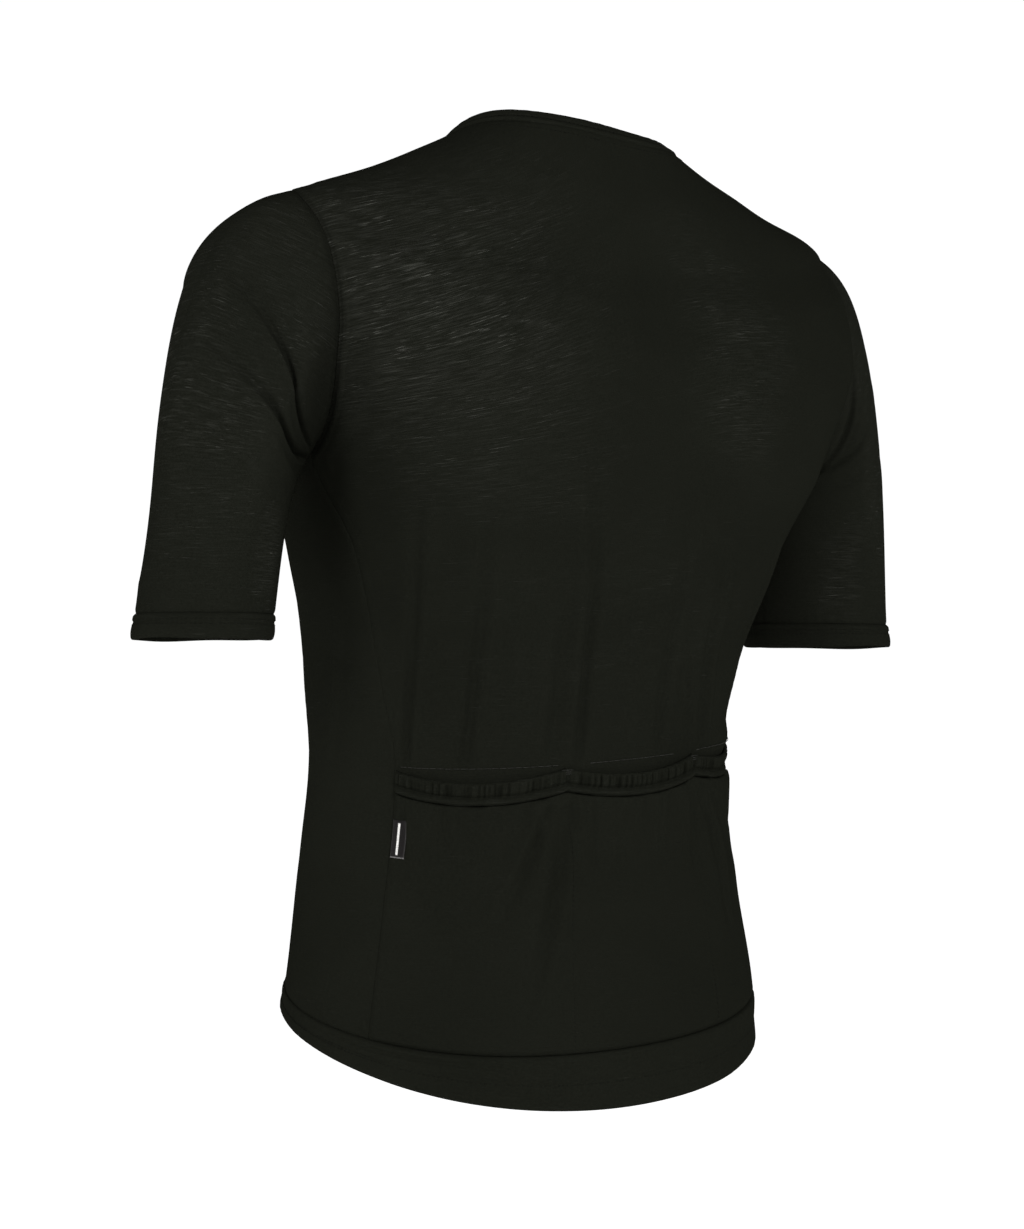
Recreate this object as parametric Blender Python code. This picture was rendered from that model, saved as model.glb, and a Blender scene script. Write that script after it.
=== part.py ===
"""A worn short-sleeved cycling jersey with three back pockets, as thin closed knit walls.

Metres, +Z up. The front faces -Y and the wearer's left is +X. The origin is midway between
the shoulders at shoulder height. Sizes in the tables are millimetres and degrees.

Around the body the angle u is 0 at the centre back, 90 at the wearer's left side, 180 at the
centre front and -90 at the wearer's right side. Up the body v runs from 0 at the hem's edge
to 1 at the neckline.
"""

import math

import bpy
import numpy as np

# ---------------------------------------------------------------- driving sizes
COLLECTION = "cycling_jersey"
MM = 0.001

WALL = 1.2  # one layer of knit
BAND_WALL = 2.0  # doubled bands: neck, cuffs and hem
SEAM_GAP = 0.3  # between two pieces that are sewn together
LAYER_GAP = 0.3  # between a piece and the one that it lies on

# One row for each ring of the body, from the hem up. A ring is z_back behind, z_side at both
# sides and z_front before, and tilt lowers it at the wearer's left. square is 0 for an
# ellipse and grows with squarer corners. seam_u is the angle of the side seam. back_lines and
# front_lines are where the outermost grid lines run, so that they pass the armhole smoothly.
STATION_COLUMNS = (
    "name", "v", "z_back", "z_side", "z_front", "tilt",
    "half_width", "back_depth", "front_depth", "centre_y", "square", "seam_u",
    "back_lines", "front_lines",
)
STATIONS = (
    ("hem_edge", 0.000, -596, -548, -513, 12, 167, 125, 123, 3, 0.02, 71.5, 71, 71),
    ("hem_seam", 0.055, -559, -529, -499, 14, 164, 124, 122, 3, 0.02, 71.5, 71, 71),
    ("hip", 0.180, -482, -458, -434, 13, 153, 118, 118, 1, 0.02, 70.0, 69, 70),
    ("pocket_line", 0.345, -378, -366, -344, 11, 145, 110, 111, 1, 0.02, 68.0, 67, 68),
    ("waist", 0.430, -328, -318, -303, 9, 150, 114, 112, 5, 0.02, 72.5, 71, 74),
    ("midriff", 0.560, -250, -241, -236, 5, 172, 127, 120, 18, 0.03, 78.0, 75, 85),
    ("armpit", 0.665, -192, -185, -183, 2, 187, 134, 121, 25, 0.06, 90.0, 77, 98),
    ("chest", 0.780, -130, -117, -126, 0, 217, 132, 120, 30, 0.06, 90.0, 75, 108),
    ("blade", 0.850, -96, -64, -107, 0, 224, 120, 117, 32, 0.045, 90.0, 78, 103),
    ("shoulder_point", 0.900, -68, -34, -92, -1, 222, 104, 110, 33, 0.01, 90.0, 83, 97),
    ("yoke", 0.955, -21, -10, -78, -3, 154, 88, 95, 35, -0.01, 90.0, 88, 91),
    ("neckline", 1.000, 20, 10, -62, -7, 91, 73, 80, 34, 0.00, 90.0, 90, 90),
)
ARMPIT_V = 0.665
SHOULDER_V = 0.917
HEM_SEAM_V = 0.055
POCKET_LINE_V = 0.345
UNDER_CASING_V = 0.300  # no row of the back lies between this one and the pocket line
ARMHOLE_BACK = 21.0  # how far the armhole cuts into the back, in degrees of u
ARMHOLE_FRONT = 25.0
ARMHOLE_HIGH = 0.35  # how far the cut's deepest point lies above the armhole's middle
ARMPIT_POINT = 0.6  # 0 rounds the armhole's low end, 1 brings it to a point

# The sleeve leaves the armhole in a direction and ends along the arm. One row for each
# quarter of the armhole: turn is 0 on top, 90 behind, 180 in the armpit and 270 before.
SLEEVE_COLUMNS = ("turn", "out", "back", "down", "start_pull", "end_pull")
SLEEVE_ROWS = (
    (0, 1.10, -0.06, 0.14, 258, 280),
    (90, 0.90, 0.05, 0.55, 135, 190),
    (180, 0.85, 0.00, 0.55, 70, 110),
    (270, 1.00, -0.24, 0.32, 176, 208),
)
ARM_OUT = 0.12  # how far the sleeve's end leans away from the body, for each unit down
CUFF_X = 259.0
CUFF_Y = 14.0
CUFF_SEAM_Z = -287.0
CUFF_EDGE_Z = -303.0
CUFF_LONG = 50.5  # half the cuff's long and short widths
CUFF_SHORT = 42.5
CUFF_TURN = 45.0  # the long width points this far behind straight out

# Soft folds as ridges (height above 0) or troughs, from one end to the other. bow is how far
# the middle of a fold lies off the straight line, to the side that rises.
BODY_FOLD_COLUMNS = ("u_low", "v_low", "u_high", "v_high", "bow", "width", "height")
BODY_FOLDS = (
    (65, 0.365, 58, 0.62, 0, 13, 2.4),
    (45.5, 0.365, 41, 0.62, 0, 13, 2.4),
    (31, 0.38, 29, 0.56, 0, 13, 1.6),
    (14.5, 0.36, 18, 0.66, 0, 12, 3.4),
    (-9, 0.355, -4, 0.63, 0, 14, 2.6),
    (-29.5, 0.36, -14, 0.58, 0, 13, 2.2),
    (-50, 0.38, -42, 0.58, 0, 15, 1.8),
    (31, 0.16, 19.5, 0.295, 0, 12, 2.4),
    (12, 0.19, 18, 0.30, 0, 10, 1.4),
    (-36, 0.16, -25, 0.30, 0, 13, 2.3),
    (152, 0.36, 161, 0.60, 0, 18, 2.2),
    (-149, 0.38, -163, 0.62, 0, 18, 2.0),
    (118, 0.34, 104, 0.58, 0, 17, 2.2),
    (-116, 0.36, -106, 0.58, 0, 17, 2.2),
    (158, 0.10, 150, 0.30, 0, 18, 1.8),
)
SLEEVE_FOLD_COLUMNS = ("turn_low", "s_low", "turn_high", "s_high", "bow", "width", "height")
LEFT_SLEEVE_FOLDS = (
    (154, 0.15, 33, 0.30, 23, 11, -4.5),
    (160, 0.18, 33, 0.43, 30, 11, -3.8),
    (208, 0.12, 290, 0.46, 8, 12, -3.5),
)
RIGHT_SLEEVE_FOLDS = (
    (78, 0.05, 150, 0.36, 14, 11, -3.4),
    (156, 0.16, 44, 0.36, 22, 12, -2.8),
    (206, 0.12, 286, 0.44, 6, 12, -3.5),
)
MM_PER_DEGREE_BODY = 2.5
MM_PER_DEGREE_SLEEVE = 0.9
BODY_LENGTH = 640.0
SLEEVE_LENGTH = 250.0

# The three pockets' mouths. The front edge of each hangs sag below the line on the back and
# stands out from it by open. Between two mouths the edge is sewn to the back.
POCKET_COLUMNS = ("u_left", "u_right", "sag", "open")
POCKETS = (
    (68.0, 18.0, 9.5, 2.6),
    (18.0, -24.0, 9.0, 2.4),
    (-24.0, -68.0, 8.5, 2.0),
)
POCKET_SEWN_DROP = 2.0  # the edge's drop where it is sewn down
CASING_COLUMNS = ("below", "out", "gathered")  # gathered elastic, then a rolled ridge
CASING_ROWS = (
    (0.0, 0.0, 0.5),
    (2.2, 0.5, 1.0),
    (10.2, 0.1, 0.8),
    (13.0, 1.6, 0.15),
    (15.5, 0.0, 0.0),
)
GATHERS = 56  # waves in the casing over the whole width
CASING_COLUMNS_A_BACK_COLUMN = 6
GATHER_HEIGHT = 0.6

# Rows of the doubled bands: t from the seam to the free edge, and out from the cloth.
BAND_COLUMNS = ("t", "out")
HEM_ROWS = ((0.0, 0.1), (0.18, 0.9), (0.82, 0.9), (1.0, 0.3))
CUFF_ROWS = ((0.0, 0.2), (0.3, 1.1), (0.75, 1.1), (1.0, 0.3))
NECK_ROWS = ((0.0, 0.2), (0.3, 0.9), (0.8, 0.7), (1.0, 0.2))
NECK_TOP = {  # the neckband's free edge
    "z_back": 29.0, "z_side": 16.5, "z_front": -51.0, "tilt": -8.0,
    "half_width": 84.0, "back_depth": 64.0, "front_depth": 71.0, "centre_y": 33.0,
}

LABEL_WIDTH = 11.5
LABEL_HEIGHT = 26.0
LABEL_WALL = 1.0
LABEL_TOP_BELOW_LINE = 36.0  # from the pocket line to the label's top
LABEL_FROM_SEAM = 1.0

BACK_COLUMNS = 28  # columns of quads in the back panel, and in the pockets' panel
FRONT_COLUMNS = 20
POCKET_ROWS = 6  # rows of quads from the hem's seam to under the casing
WAIST_ROWS = 8  # rows of quads from the pocket line to the armpits
ARMHOLE_STEPS = 10  # rows of quads from the armpit to the shoulder point
YOKE_ROWS = 4
SLEEVE_RINGS = 11

BLACK_KNIT = (0.011, 0.0115, 0.009, 1.0)
BLACK_BAND = (0.0105, 0.011, 0.0088, 1.0)
LABEL_BLACK = (0.010, 0.010, 0.010, 1.0)


# ---------------------------------------------------------------- small tools
def smooth_column(at, xs, ys):
    """A smooth curve through the points (xs, ys) that never swings past them: cubic pieces
    whose slope at a point is the harmonic mean of the slopes on both sides, or 0 at a turn."""
    xs = np.asarray(xs, float)
    ys = np.asarray(ys, float)
    step = np.diff(xs)
    slope = np.diff(ys) / step
    inner = np.zeros(len(xs))
    same = slope[:-1] * slope[1:] > 0
    before = 2.0 * step[1:] + step[:-1]
    after = step[1:] + 2.0 * step[:-1]
    safe = np.where(same, slope[:-1], 1.0), np.where(same, slope[1:], 1.0)
    mean = (before + after) / (before / safe[0] + after / safe[1])
    inner[1:-1] = np.where(same, mean, 0.0)
    inner[0] = slope[0]
    inner[-1] = slope[-1]
    at = np.asarray(at, float)
    k = np.clip(np.searchsorted(xs, at, side="right") - 1, 0, len(xs) - 2)
    t = (at - xs[k]) / step[k]
    h00 = 2 * t**3 - 3 * t**2 + 1
    h10 = t**3 - 2 * t**2 + t
    h01 = -2 * t**3 + 3 * t**2
    h11 = t**3 - t**2
    return (
        h00 * ys[k] + h10 * step[k] * inner[k]
        + h01 * ys[k + 1] + h11 * step[k] * inner[k + 1]
    )


def station(column, v):
    """One column of the stations table at v."""
    k = STATION_COLUMNS.index(column)
    return smooth_column(v, [r[1] for r in STATIONS], [r[k] for r in STATIONS])


def unit(vectors):
    """Vectors scaled to length 1."""
    return vectors / np.linalg.norm(vectors, axis=-1, keepdims=True)


def folds(x, y, table, x_scale, y_scale):
    """The height of soft folds at x, y: each row is a bowed line with a bell across it
    that fades to nothing at both ends."""
    total = np.zeros(np.broadcast(x, y).shape)
    for x0, y0, x1, y1, bow, width, height in table:
        start = np.array([x0 * x_scale, y0 * y_scale])
        along = np.array([x1 * x_scale, y1 * y_scale]) - start
        length = np.hypot(along[0], along[1])
        along = along / length
        dx = x * x_scale - start[0]
        dy = y * y_scale - start[1]
        t = (dx * along[0] + dy * along[1]) / length
        fade = np.clip(t * (1.0 - t) * 4.0, 0.0, 1.0)
        rise = (dy * along[0] - dx * along[1]) * (1.0 if along[0] > 0.0 else -1.0)
        off = rise - bow * fade
        total = total + height * np.exp(-((off / width) ** 2)) * fade**1.5
    return total


# ---------------------------------------------------------------- the body
def ring(u, row):
    """A point of a ring at the angle u: a rounded ellipse in plan, its height going from
    the back's to the side's and the front's in smooth waves."""
    s = np.sin(np.radians(u))
    c = np.cos(np.radians(u))
    q = row["square"]
    across = (s + q * np.sin(np.radians(3.0 * u))) / (1.0 - q)
    deep = (c - q * np.cos(np.radians(3.0 * u))) / (1.0 - q)
    depth = np.where(c > 0.0, row["back_depth"], row["front_depth"])
    even = (row["z_back"] + row["z_front"]) / 2.0 - row["z_side"]
    odd = (row["z_back"] - row["z_front"]) / 2.0
    z = row["z_side"] + even * c * c + odd * c - row["tilt"] * s
    return np.stack(
        [row["half_width"] * across, row["centre_y"] + depth * deep, z], axis=-1
    )


def body_base(u, v):
    """The body's smooth outer surface without folds."""
    u, v = np.broadcast_arrays(np.asarray(u, float), np.asarray(v, float))
    row = {name: station(name, v) for name in STATION_COLUMNS[2:11]}
    return ring(u, row)


def surface_normal(point, a, b, step_a, step_b):
    """The unit normal of the surface point(a, b), by differences."""
    da = point(a + step_a, b) - point(a - step_a, b)
    db = point(a, b + step_b) - point(a, b - step_b)
    return unit(np.cross(da, db))


def body_base_normal(u, v):
    inside = np.clip(v, 0.002, 0.998)
    return -surface_normal(body_base, u, inside, 0.5, 0.002)


def body(u, v):
    """The body's outer surface with its folds."""
    u, v = np.broadcast_arrays(np.asarray(u, float), np.asarray(v, float))
    around = (u + 180.0) % 360.0 - 180.0
    lift = folds(around, v, BODY_FOLDS, MM_PER_DEGREE_BODY, BODY_LENGTH)
    return body_base(u, v) + body_base_normal(u, v) * lift[..., None]


def body_normal(u, v):
    inside = np.clip(v, 0.003, 0.997)
    return -surface_normal(body, u, inside, 0.6, 0.003)


def armhole_uv(turn):
    """The armhole in u and v on the wearer's left: turn is 0 on the shoulder, 90 behind,
    180 in the armpit and 270 before."""
    s = np.sin(np.radians(turn))
    c = np.cos(np.radians(turn))
    cut = np.where(s > 0.0, ARMHOLE_BACK, ARMHOLE_FRONT)
    down = np.abs((np.asarray(turn, float) + 180.0) % 360.0 - 180.0) / 180.0
    share = (1.0 + c) / 2.0
    share = share + (1.0 - down - share) * ARMPIT_POINT * down**2
    return 90.0 - cut * s * (1.0 + ARMHOLE_HIGH * c), ARMPIT_V + (SHOULDER_V - ARMPIT_V) * share


# ---------------------------------------------------------------- the sleeves
def cuff_ring(side, turn, z, grow):
    """A ring of the cuff: an oval at height z, grown by grow."""
    a = np.radians(turn - CUFF_TURN)
    k = math.radians(CUFF_TURN)
    along = (CUFF_LONG + grow) * np.cos(a)
    across = (CUFF_SHORT + grow) * np.sin(a)
    lean = ARM_OUT * (CUFF_SEAM_Z - z)
    x = CUFF_X + lean + along * math.cos(k) - across * math.sin(k)
    y = CUFF_Y + along * math.sin(k) + across * math.cos(k)
    return np.stack([side * x, y, np.broadcast_to(z, x.shape)], axis=-1)


def sleeve_table(column, turn):
    """One column of the sleeve's rows at a turn, in smooth steps round the armhole."""
    k = SLEEVE_COLUMNS.index(column)
    values = np.array([r[k] for r in SLEEVE_ROWS], float)
    place = (np.asarray(turn, float) % 360.0) / 90.0
    low = np.floor(place).astype(int) % 4
    t = place - np.floor(place)
    t = (1.0 - np.cos(np.pi * t)) / 2.0
    return values[low] * (1.0 - t) + values[(low + 1) % 4] * t


def sleeve_base(side, turn, s):
    """The sleeve's outer surface: curves from the armhole (s = 0) to the cuff's seam
    (s = 1), pulled out of the armhole and along the arm at their ends."""
    turn, s = np.broadcast_arrays(np.asarray(turn, float), np.asarray(s, float))
    u, v = armhole_uv(turn)
    start = body(side * u, v)
    end = cuff_ring(side, turn, np.full(turn.shape, CUFF_SEAM_Z), 0.0)
    lean = unit(
        np.stack(
            [
                side * sleeve_table("out", turn),
                sleeve_table("back", turn),
                -sleeve_table("down", turn),
            ],
            axis=-1,
        )
    )
    start_pull = lean * sleeve_table("start_pull", turn)[..., None]
    arm = unit(np.array([side * ARM_OUT, -0.04, -1.0]))
    end_pull = arm * sleeve_table("end_pull", turn)[..., None]
    t = s[..., None]
    h00 = 2 * t**3 - 3 * t**2 + 1
    h10 = t**3 - 2 * t**2 + t
    h01 = -2 * t**3 + 3 * t**2
    h11 = t**3 - t**2
    return h00 * start + h10 * start_pull + h01 * end + h11 * end_pull


def sleeve(side, turn, s):
    """The sleeve's outer surface with its folds."""
    turn, s = np.broadcast_arrays(np.asarray(turn, float), np.asarray(s, float))
    table = LEFT_SLEEVE_FOLDS if side > 0 else RIGHT_SLEEVE_FOLDS
    lift = folds(turn % 360.0, s, table, MM_PER_DEGREE_SLEEVE, SLEEVE_LENGTH)
    inside = np.clip(s, 0.004, 0.996)
    normal = -side * surface_normal(
        lambda a, b: sleeve_base(side, a, b), turn, inside, 2.0, 0.004
    )
    return sleeve_base(side, turn, s) + normal * lift[..., None]


def sleeve_normal(side, turn, s):
    inside = np.clip(s, 0.006, 0.994)
    return -side * surface_normal(
        lambda a, b: sleeve(side, a, b), turn, inside, 2.0, 0.006
    )


def armhole_seam(side, turn):
    """At the armhole's seam: the point, the shared wall direction with its length for a
    mitred edge, and the direction across the seam from the body to the sleeve."""
    turn = np.asarray(turn, float)
    u, v = armhole_uv(turn)
    point = body(side * u, v)
    of_body = body_normal(side * u, v)
    of_sleeve = sleeve_normal(side, turn, np.zeros(turn.shape))
    shared = unit(of_body + of_sleeve)
    mitre = 1.0 / np.clip((shared * of_body).sum(-1), 0.55, 1.0)
    ahead_u, ahead_v = armhole_uv(turn + 1.0)
    behind_u, behind_v = armhole_uv(turn - 1.0)
    seam = body(side * ahead_u, ahead_v) - body(side * behind_u, behind_v)
    across = unit(np.cross(seam, shared))
    toward = sleeve(side, turn, np.full(turn.shape, 0.08)) - point
    across = across * np.sign((across * toward).sum(-1))[..., None]
    return point, shared * mitre[..., None], across


# ---------------------------------------------------------------- meshes
def add_solid(name, points, faces, colour, roughness=0.9):
    """A closed mesh object with faces pointing out, in its own material."""
    points = np.asarray(points, float) * MM
    faces = np.asarray(faces, int)
    a, b, c = (points[faces[:, k]] for k in range(3))
    if (np.cross(a, b) * c).sum() < 0.0:
        faces = faces[:, ::-1]
    mesh = bpy.data.meshes.new(name)
    mesh.from_pydata(points.tolist(), [], faces.tolist())
    mesh.update()
    material = bpy.data.materials.new(name)
    material.use_nodes = True
    shader = material.node_tree.nodes["Principled BSDF"]
    shader.inputs["Base Color"].default_value = colour
    shader.inputs["Roughness"].default_value = roughness
    mesh.materials.append(material)
    made = bpy.data.objects.new(name, mesh)
    bpy.data.collections[COLLECTION].objects.link(made)
    return made


def grid_faces(rows, columns, wrap=False, first=0):
    """The triangles of a grid of points in rows, joined back to the first column if wrap.
    Each cell is split from its first corner to the one across."""
    cells = columns if wrap else columns - 1
    i, j = np.meshgrid(np.arange(rows - 1), np.arange(cells), indexing="ij")
    j2 = (j + 1) % columns
    start = i * columns + j
    beside = i * columns + j2
    far = (i + 1) * columns + j2
    above = (i + 1) * columns + j
    low = np.stack([start, beside, far], axis=-1).reshape(-1, 3)
    high = np.stack([start, far, above], axis=-1).reshape(-1, 3)
    return np.concatenate([low, high]) + first


def edge_faces(outer, inner):
    """The triangles that join two strings of point numbers."""
    first = np.stack([outer[:-1], inner[:-1], inner[1:]], axis=-1)
    second = np.stack([outer[:-1], inner[1:], outer[1:]], axis=-1)
    return np.concatenate([first, second])


def closed_wall(name, outer, inner, colour, wrap=False):
    """A wall between an outer and an inner grid of points, closed by its rims."""
    rows, columns = outer.shape[:2]
    count = rows * columns
    numbers = np.arange(count).reshape(rows, columns)
    faces = [
        grid_faces(rows, columns, wrap),
        grid_faces(rows, columns, wrap, count)[:, ::-1],
    ]
    low = numbers[0]
    high = numbers[-1]
    if wrap:
        low = np.append(low, low[0])
        high = np.append(high, high[0])
    faces.append(edge_faces(low, low + count))
    faces.append(edge_faces(high, high + count)[:, ::-1])
    if not wrap:
        left = numbers[:, 0]
        right = numbers[:, -1]
        faces.append(edge_faces(left, left + count)[:, ::-1])
        faces.append(edge_faces(right, right + count))
    points = np.concatenate([outer.reshape(-1, 3), inner.reshape(-1, 3)])
    return add_solid(name, points, np.concatenate(faces), colour)


# ---------------------------------------------------------------- the pieces
def panel_grid(front):
    """The outer points of the back, or of the front that wraps round to the side seams
    behind the sides, and the directions to their inner points; with the rows' v."""
    gap = SEAM_GAP / 2.0 / BODY_LENGTH
    pocket = np.linspace(HEM_SEAM_V + gap, UNDER_CASING_V, POCKET_ROWS + 1)
    waist = np.linspace(POCKET_LINE_V, ARMPIT_V, WAIST_ROWS + 1)[:-1]
    lower = np.concatenate([pocket, waist])
    turns = np.linspace(180.0, 0.0, ARMHOLE_STEPS + 1)
    upper = np.linspace(SHOULDER_V, 1.0 - gap, YOKE_ROWS + 1)[1:]
    at = 360.0 - turns if front else turns
    cut_u, cut_v = armhole_uv(at)
    v = np.concatenate([lower, cut_v, upper])
    edge = np.concatenate([station("seam_u", lower), cut_u, np.full(len(upper), 90.0)])
    trim = np.degrees(SEAM_GAP / 2.0 / station("half_width", v))
    if front:
        s = np.linspace(-1.0, 1.0, FRONT_COLUMNS + 1)[None, :]
        reach = (180.0 - edge - trim)[:, None]
        lines = (180.0 - station("front_lines", v))[:, None]
    else:
        s = np.linspace(1.0, -1.0, BACK_COLUMNS + 1)[None, :]
        reach = (edge - trim)[:, None]
        lines = station("back_lines", v)[:, None]
    u = lines * s + (reach - lines) * s**5 + (180.0 if front else 0.0)
    v_grid = np.broadcast_to(v[:, None], u.shape)
    outer = body(u, v_grid)
    offset = body_normal(u, v_grid)
    rows = slice(len(lower), len(lower) + len(turns))
    for column, side in ((0, 1), (-1, -1)):
        point, shared, across = armhole_seam(side, at)
        along = outer[rows, column] - point
        along = along - (along * across).sum(-1)[..., None] * across
        outer[rows, column] = point + along - across * (SEAM_GAP / 2.0)
        offset[rows, column] = shared
    return outer, offset, v


def body_panel(name, front):
    """The back or the front."""
    outer, offset, _ = panel_grid(front)
    return closed_wall(name, outer, outer - offset * WALL, BLACK_KNIT)


def sleeve_piece(name, side):
    """A sleeve from the armhole's seam to the cuff's."""
    back = np.linspace(0.0, 180.0, ARMHOLE_STEPS + 1)
    turns = np.concatenate([back, 360.0 - back[-2:0:-1]])
    s = np.linspace(0.0, 1.0, SLEEVE_RINGS) ** 0.9
    s[-1] = 1.0 - SEAM_GAP / 2.0 / SLEEVE_LENGTH
    turn_grid, s_grid = np.meshgrid(turns, s)
    outer = sleeve(side, turn_grid, s_grid)
    offset = sleeve_normal(side, turn_grid, s_grid)
    point, shared, across = armhole_seam(side, turns)
    outer[0] = point + across * (SEAM_GAP / 2.0)
    offset[0] = shared
    return closed_wall(name, outer, outer - offset * WALL, BLACK_KNIT, wrap=True)


def cuff_piece(name, side):
    """The doubled cuff band under a sleeve."""
    turns = np.arange(0.0, 360.0, 15.0)
    rows = []
    inner = []
    top = CUFF_SEAM_Z - SEAM_GAP
    for t, out in CUFF_ROWS:
        z = top + (CUFF_EDGE_Z - top) * t
        level = np.full(turns.shape, z)
        rows.append(cuff_ring(side, turns, level, out))
        inner.append(cuff_ring(side, turns, level, out - BAND_WALL))
    return closed_wall(name, np.array(rows), np.array(inner), BLACK_BAND, wrap=True)


def hem_piece():
    """The doubled band round the hem."""
    angles = np.arange(0.0, 360.0, 9.0)
    outer = []
    inner = []
    top = HEM_SEAM_V - SEAM_GAP / 2.0 / BODY_LENGTH
    for t, out in HEM_ROWS:
        v = np.full(angles.shape, top * (1.0 - t))
        base = body(angles, v)
        normal = body_normal(angles, v)
        outer.append(base + normal * out)
        inner.append(base + normal * (out - BAND_WALL))
    return closed_wall("hem_band", np.array(outer), np.array(inner), BLACK_BAND, wrap=True)


def neck_piece():
    """The doubled neckband, leaning in a little from the neckline."""
    angles = np.arange(0.0, 360.0, 12.0)
    top = {name: np.full(angles.shape, value) for name, value in NECK_TOP.items()}
    top["square"] = np.zeros(angles.shape)
    low = body(angles, np.ones(angles.shape))
    high = ring(angles, top)
    rise = unit(high - low)
    low = low + rise * SEAM_GAP
    around = unit(np.roll(low, -1, axis=0) - np.roll(low, 1, axis=0))
    normal = unit(np.cross(rise, around))
    middle = low.mean(axis=0)
    normal = normal * np.sign((normal * (low - middle)).sum(-1))[..., None]
    outer = []
    inner = []
    for t, out in NECK_ROWS:
        base = low * (1.0 - t) + high * t
        outer.append(base + normal * out)
        inner.append(base + normal * (out - BAND_WALL))
    return closed_wall("neckband", np.array(outer), np.array(inner), BLACK_BAND, wrap=True)


def pocket_mouth(u):
    """How far the pockets' front edge hangs below the line on the back, and stands out."""
    drop = np.full(np.shape(u), POCKET_SEWN_DROP)
    stand = np.zeros(np.shape(u))
    for left, right, sag, opening in POCKETS:
        t = np.clip((left - u) / (left - right), 0.0, 1.0)
        bow = np.sin(np.pi * t) ** 0.8
        drop = drop + (sag - POCKET_SEWN_DROP) * bow
        stand = stand + opening * bow
    return drop, stand


def on_back(grid, across, v):
    """Points and normals on the back's own triangles: across is 1 at its left edge and -1
    at its right one."""
    outer, offset, rows = grid
    v = np.clip(v, rows[0], POCKET_LINE_V)
    place = (1.0 - across) / 2.0 * BACK_COLUMNS
    j = np.clip(np.floor(place).astype(int), 0, BACK_COLUMNS - 1)
    i = np.clip(np.searchsorted(rows, v, side="right") - 1, 0, len(rows) - 2)
    a = (place - j)[..., None]
    b = ((v - rows[i]) / (rows[i + 1] - rows[i]))[..., None]
    found = []
    for values in (outer, offset):
        start = values[i, j]
        far = values[i + 1, j + 1]
        beside = values[i, j + 1]
        above = values[i + 1, j]
        first = start + a * (beside - start) + b * (far - beside)
        second = start + b * (above - start) + a * (far - above)
        found.append(np.where(a >= b, first, second))
    return found[0], unit(found[1])


def pocket_layer(grid, across, below, out):
    """Points on the pocket layer: across runs from 1 at the wearer's left side seam to -1
    at the right one, below is the depth under the mouth's edge, and out is from the layer's
    inside. The layer stands off most at the mouth and settles lower down."""
    drop, stand = pocket_mouth(across * station("seam_u", POCKET_LINE_V))
    point, normal = on_back(grid, across, POCKET_LINE_V - (drop + below) / BODY_LENGTH)
    settle = np.exp(-((below / 34.0) ** 1.5))
    lift = LAYER_GAP + stand * settle + out
    return point + normal * lift[..., None]


def gather_waves(t):
    """Uneven small waves along the casing, from 0 to 1 high, t from 0 to 1 across."""
    phase = GATHERS * t + 0.55 * np.sin(2 * np.pi * 3.3 * t) + 0.3 * np.sin(2 * np.pi * 8.1 * t)
    tall = 0.75 + 0.25 * np.sin(2 * np.pi * 5.7 * t + 0.8)
    return tall * (0.5 + 0.5 * np.cos(2 * np.pi * phase))


def casing_piece(grid):
    """The gathered elastic casing along the pockets' mouths, with a rolled ridge under
    it. The gathers and the ridge are raised on the outer points over a plain inside."""
    columns = BACK_COLUMNS * CASING_COLUMNS_A_BACK_COLUMN + 1
    across = np.linspace(1.0, -1.0, columns)
    waves = gather_waves(np.linspace(0.0, 1.0, columns))
    outer = []
    inner = []
    for below, out, share in CASING_ROWS[::-1]:
        level = np.full(columns, below)
        raised = WALL + out + share * GATHER_HEIGHT * waves
        outer.append(pocket_layer(grid, across, level, raised))
        inner.append(pocket_layer(grid, across, level, np.zeros(columns)))
    return closed_wall("pocket_casing", np.array(outer), np.array(inner), BLACK_KNIT)


def pocket_piece(grid):
    """The pockets' panel from under the ridge to the hem's seam, on the back's rows."""
    across = np.linspace(1.0, -1.0, BACK_COLUMNS + 1)
    drop, _ = pocket_mouth(across * station("seam_u", POCKET_LINE_V))
    depths = [(POCKET_LINE_V - v) * BODY_LENGTH - drop for v in grid[2][: POCKET_ROWS + 1]]
    depths.append(np.full(across.shape, CASING_ROWS[-1][0] + SEAM_GAP))
    outer = [pocket_layer(grid, across, d, np.full(d.shape, WALL)) for d in depths]
    inner = [pocket_layer(grid, across, d, np.zeros(d.shape)) for d in depths]
    return closed_wall("pocket_panel", np.array(outer), np.array(inner), BLACK_KNIT)


def label_piece(grid):
    """A small plain label sewn flat under the pocket's left end, beside the side seam."""
    edge = float(station("seam_u", POCKET_LINE_V))
    first = 1.0 - LABEL_FROM_SEAM / (MM_PER_DEGREE_BODY * edge)
    across = np.linspace(first, first - LABEL_WIDTH / (MM_PER_DEGREE_BODY * edge), 4)
    drop, _ = pocket_mouth(across * edge)
    outer = []
    inner = []
    for t in np.linspace(1.0, 0.0, 5):
        below = LABEL_TOP_BELOW_LINE + LABEL_HEIGHT * t - drop
        level = np.full(across.shape, WALL + LAYER_GAP)
        outer.append(pocket_layer(grid, across, below, level + LABEL_WALL))
        inner.append(pocket_layer(grid, across, below, level))
    return closed_wall("side_label", np.array(outer), np.array(inner), LABEL_BLACK)


def main():
    for old in list(bpy.data.objects):
        bpy.data.objects.remove(old, do_unlink=True)
    collection = bpy.data.collections.new(COLLECTION)
    bpy.context.scene.collection.children.link(collection)
    body_panel("back_panel", False)
    body_panel("front_panel", True)
    sleeve_piece("sleeve_left", 1)
    sleeve_piece("sleeve_right", -1)
    cuff_piece("cuff_left", 1)
    cuff_piece("cuff_right", -1)
    neck_piece()
    hem_piece()
    grid = panel_grid(False)
    pocket_piece(grid)
    casing_piece(grid)
    label_piece(grid)


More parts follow.
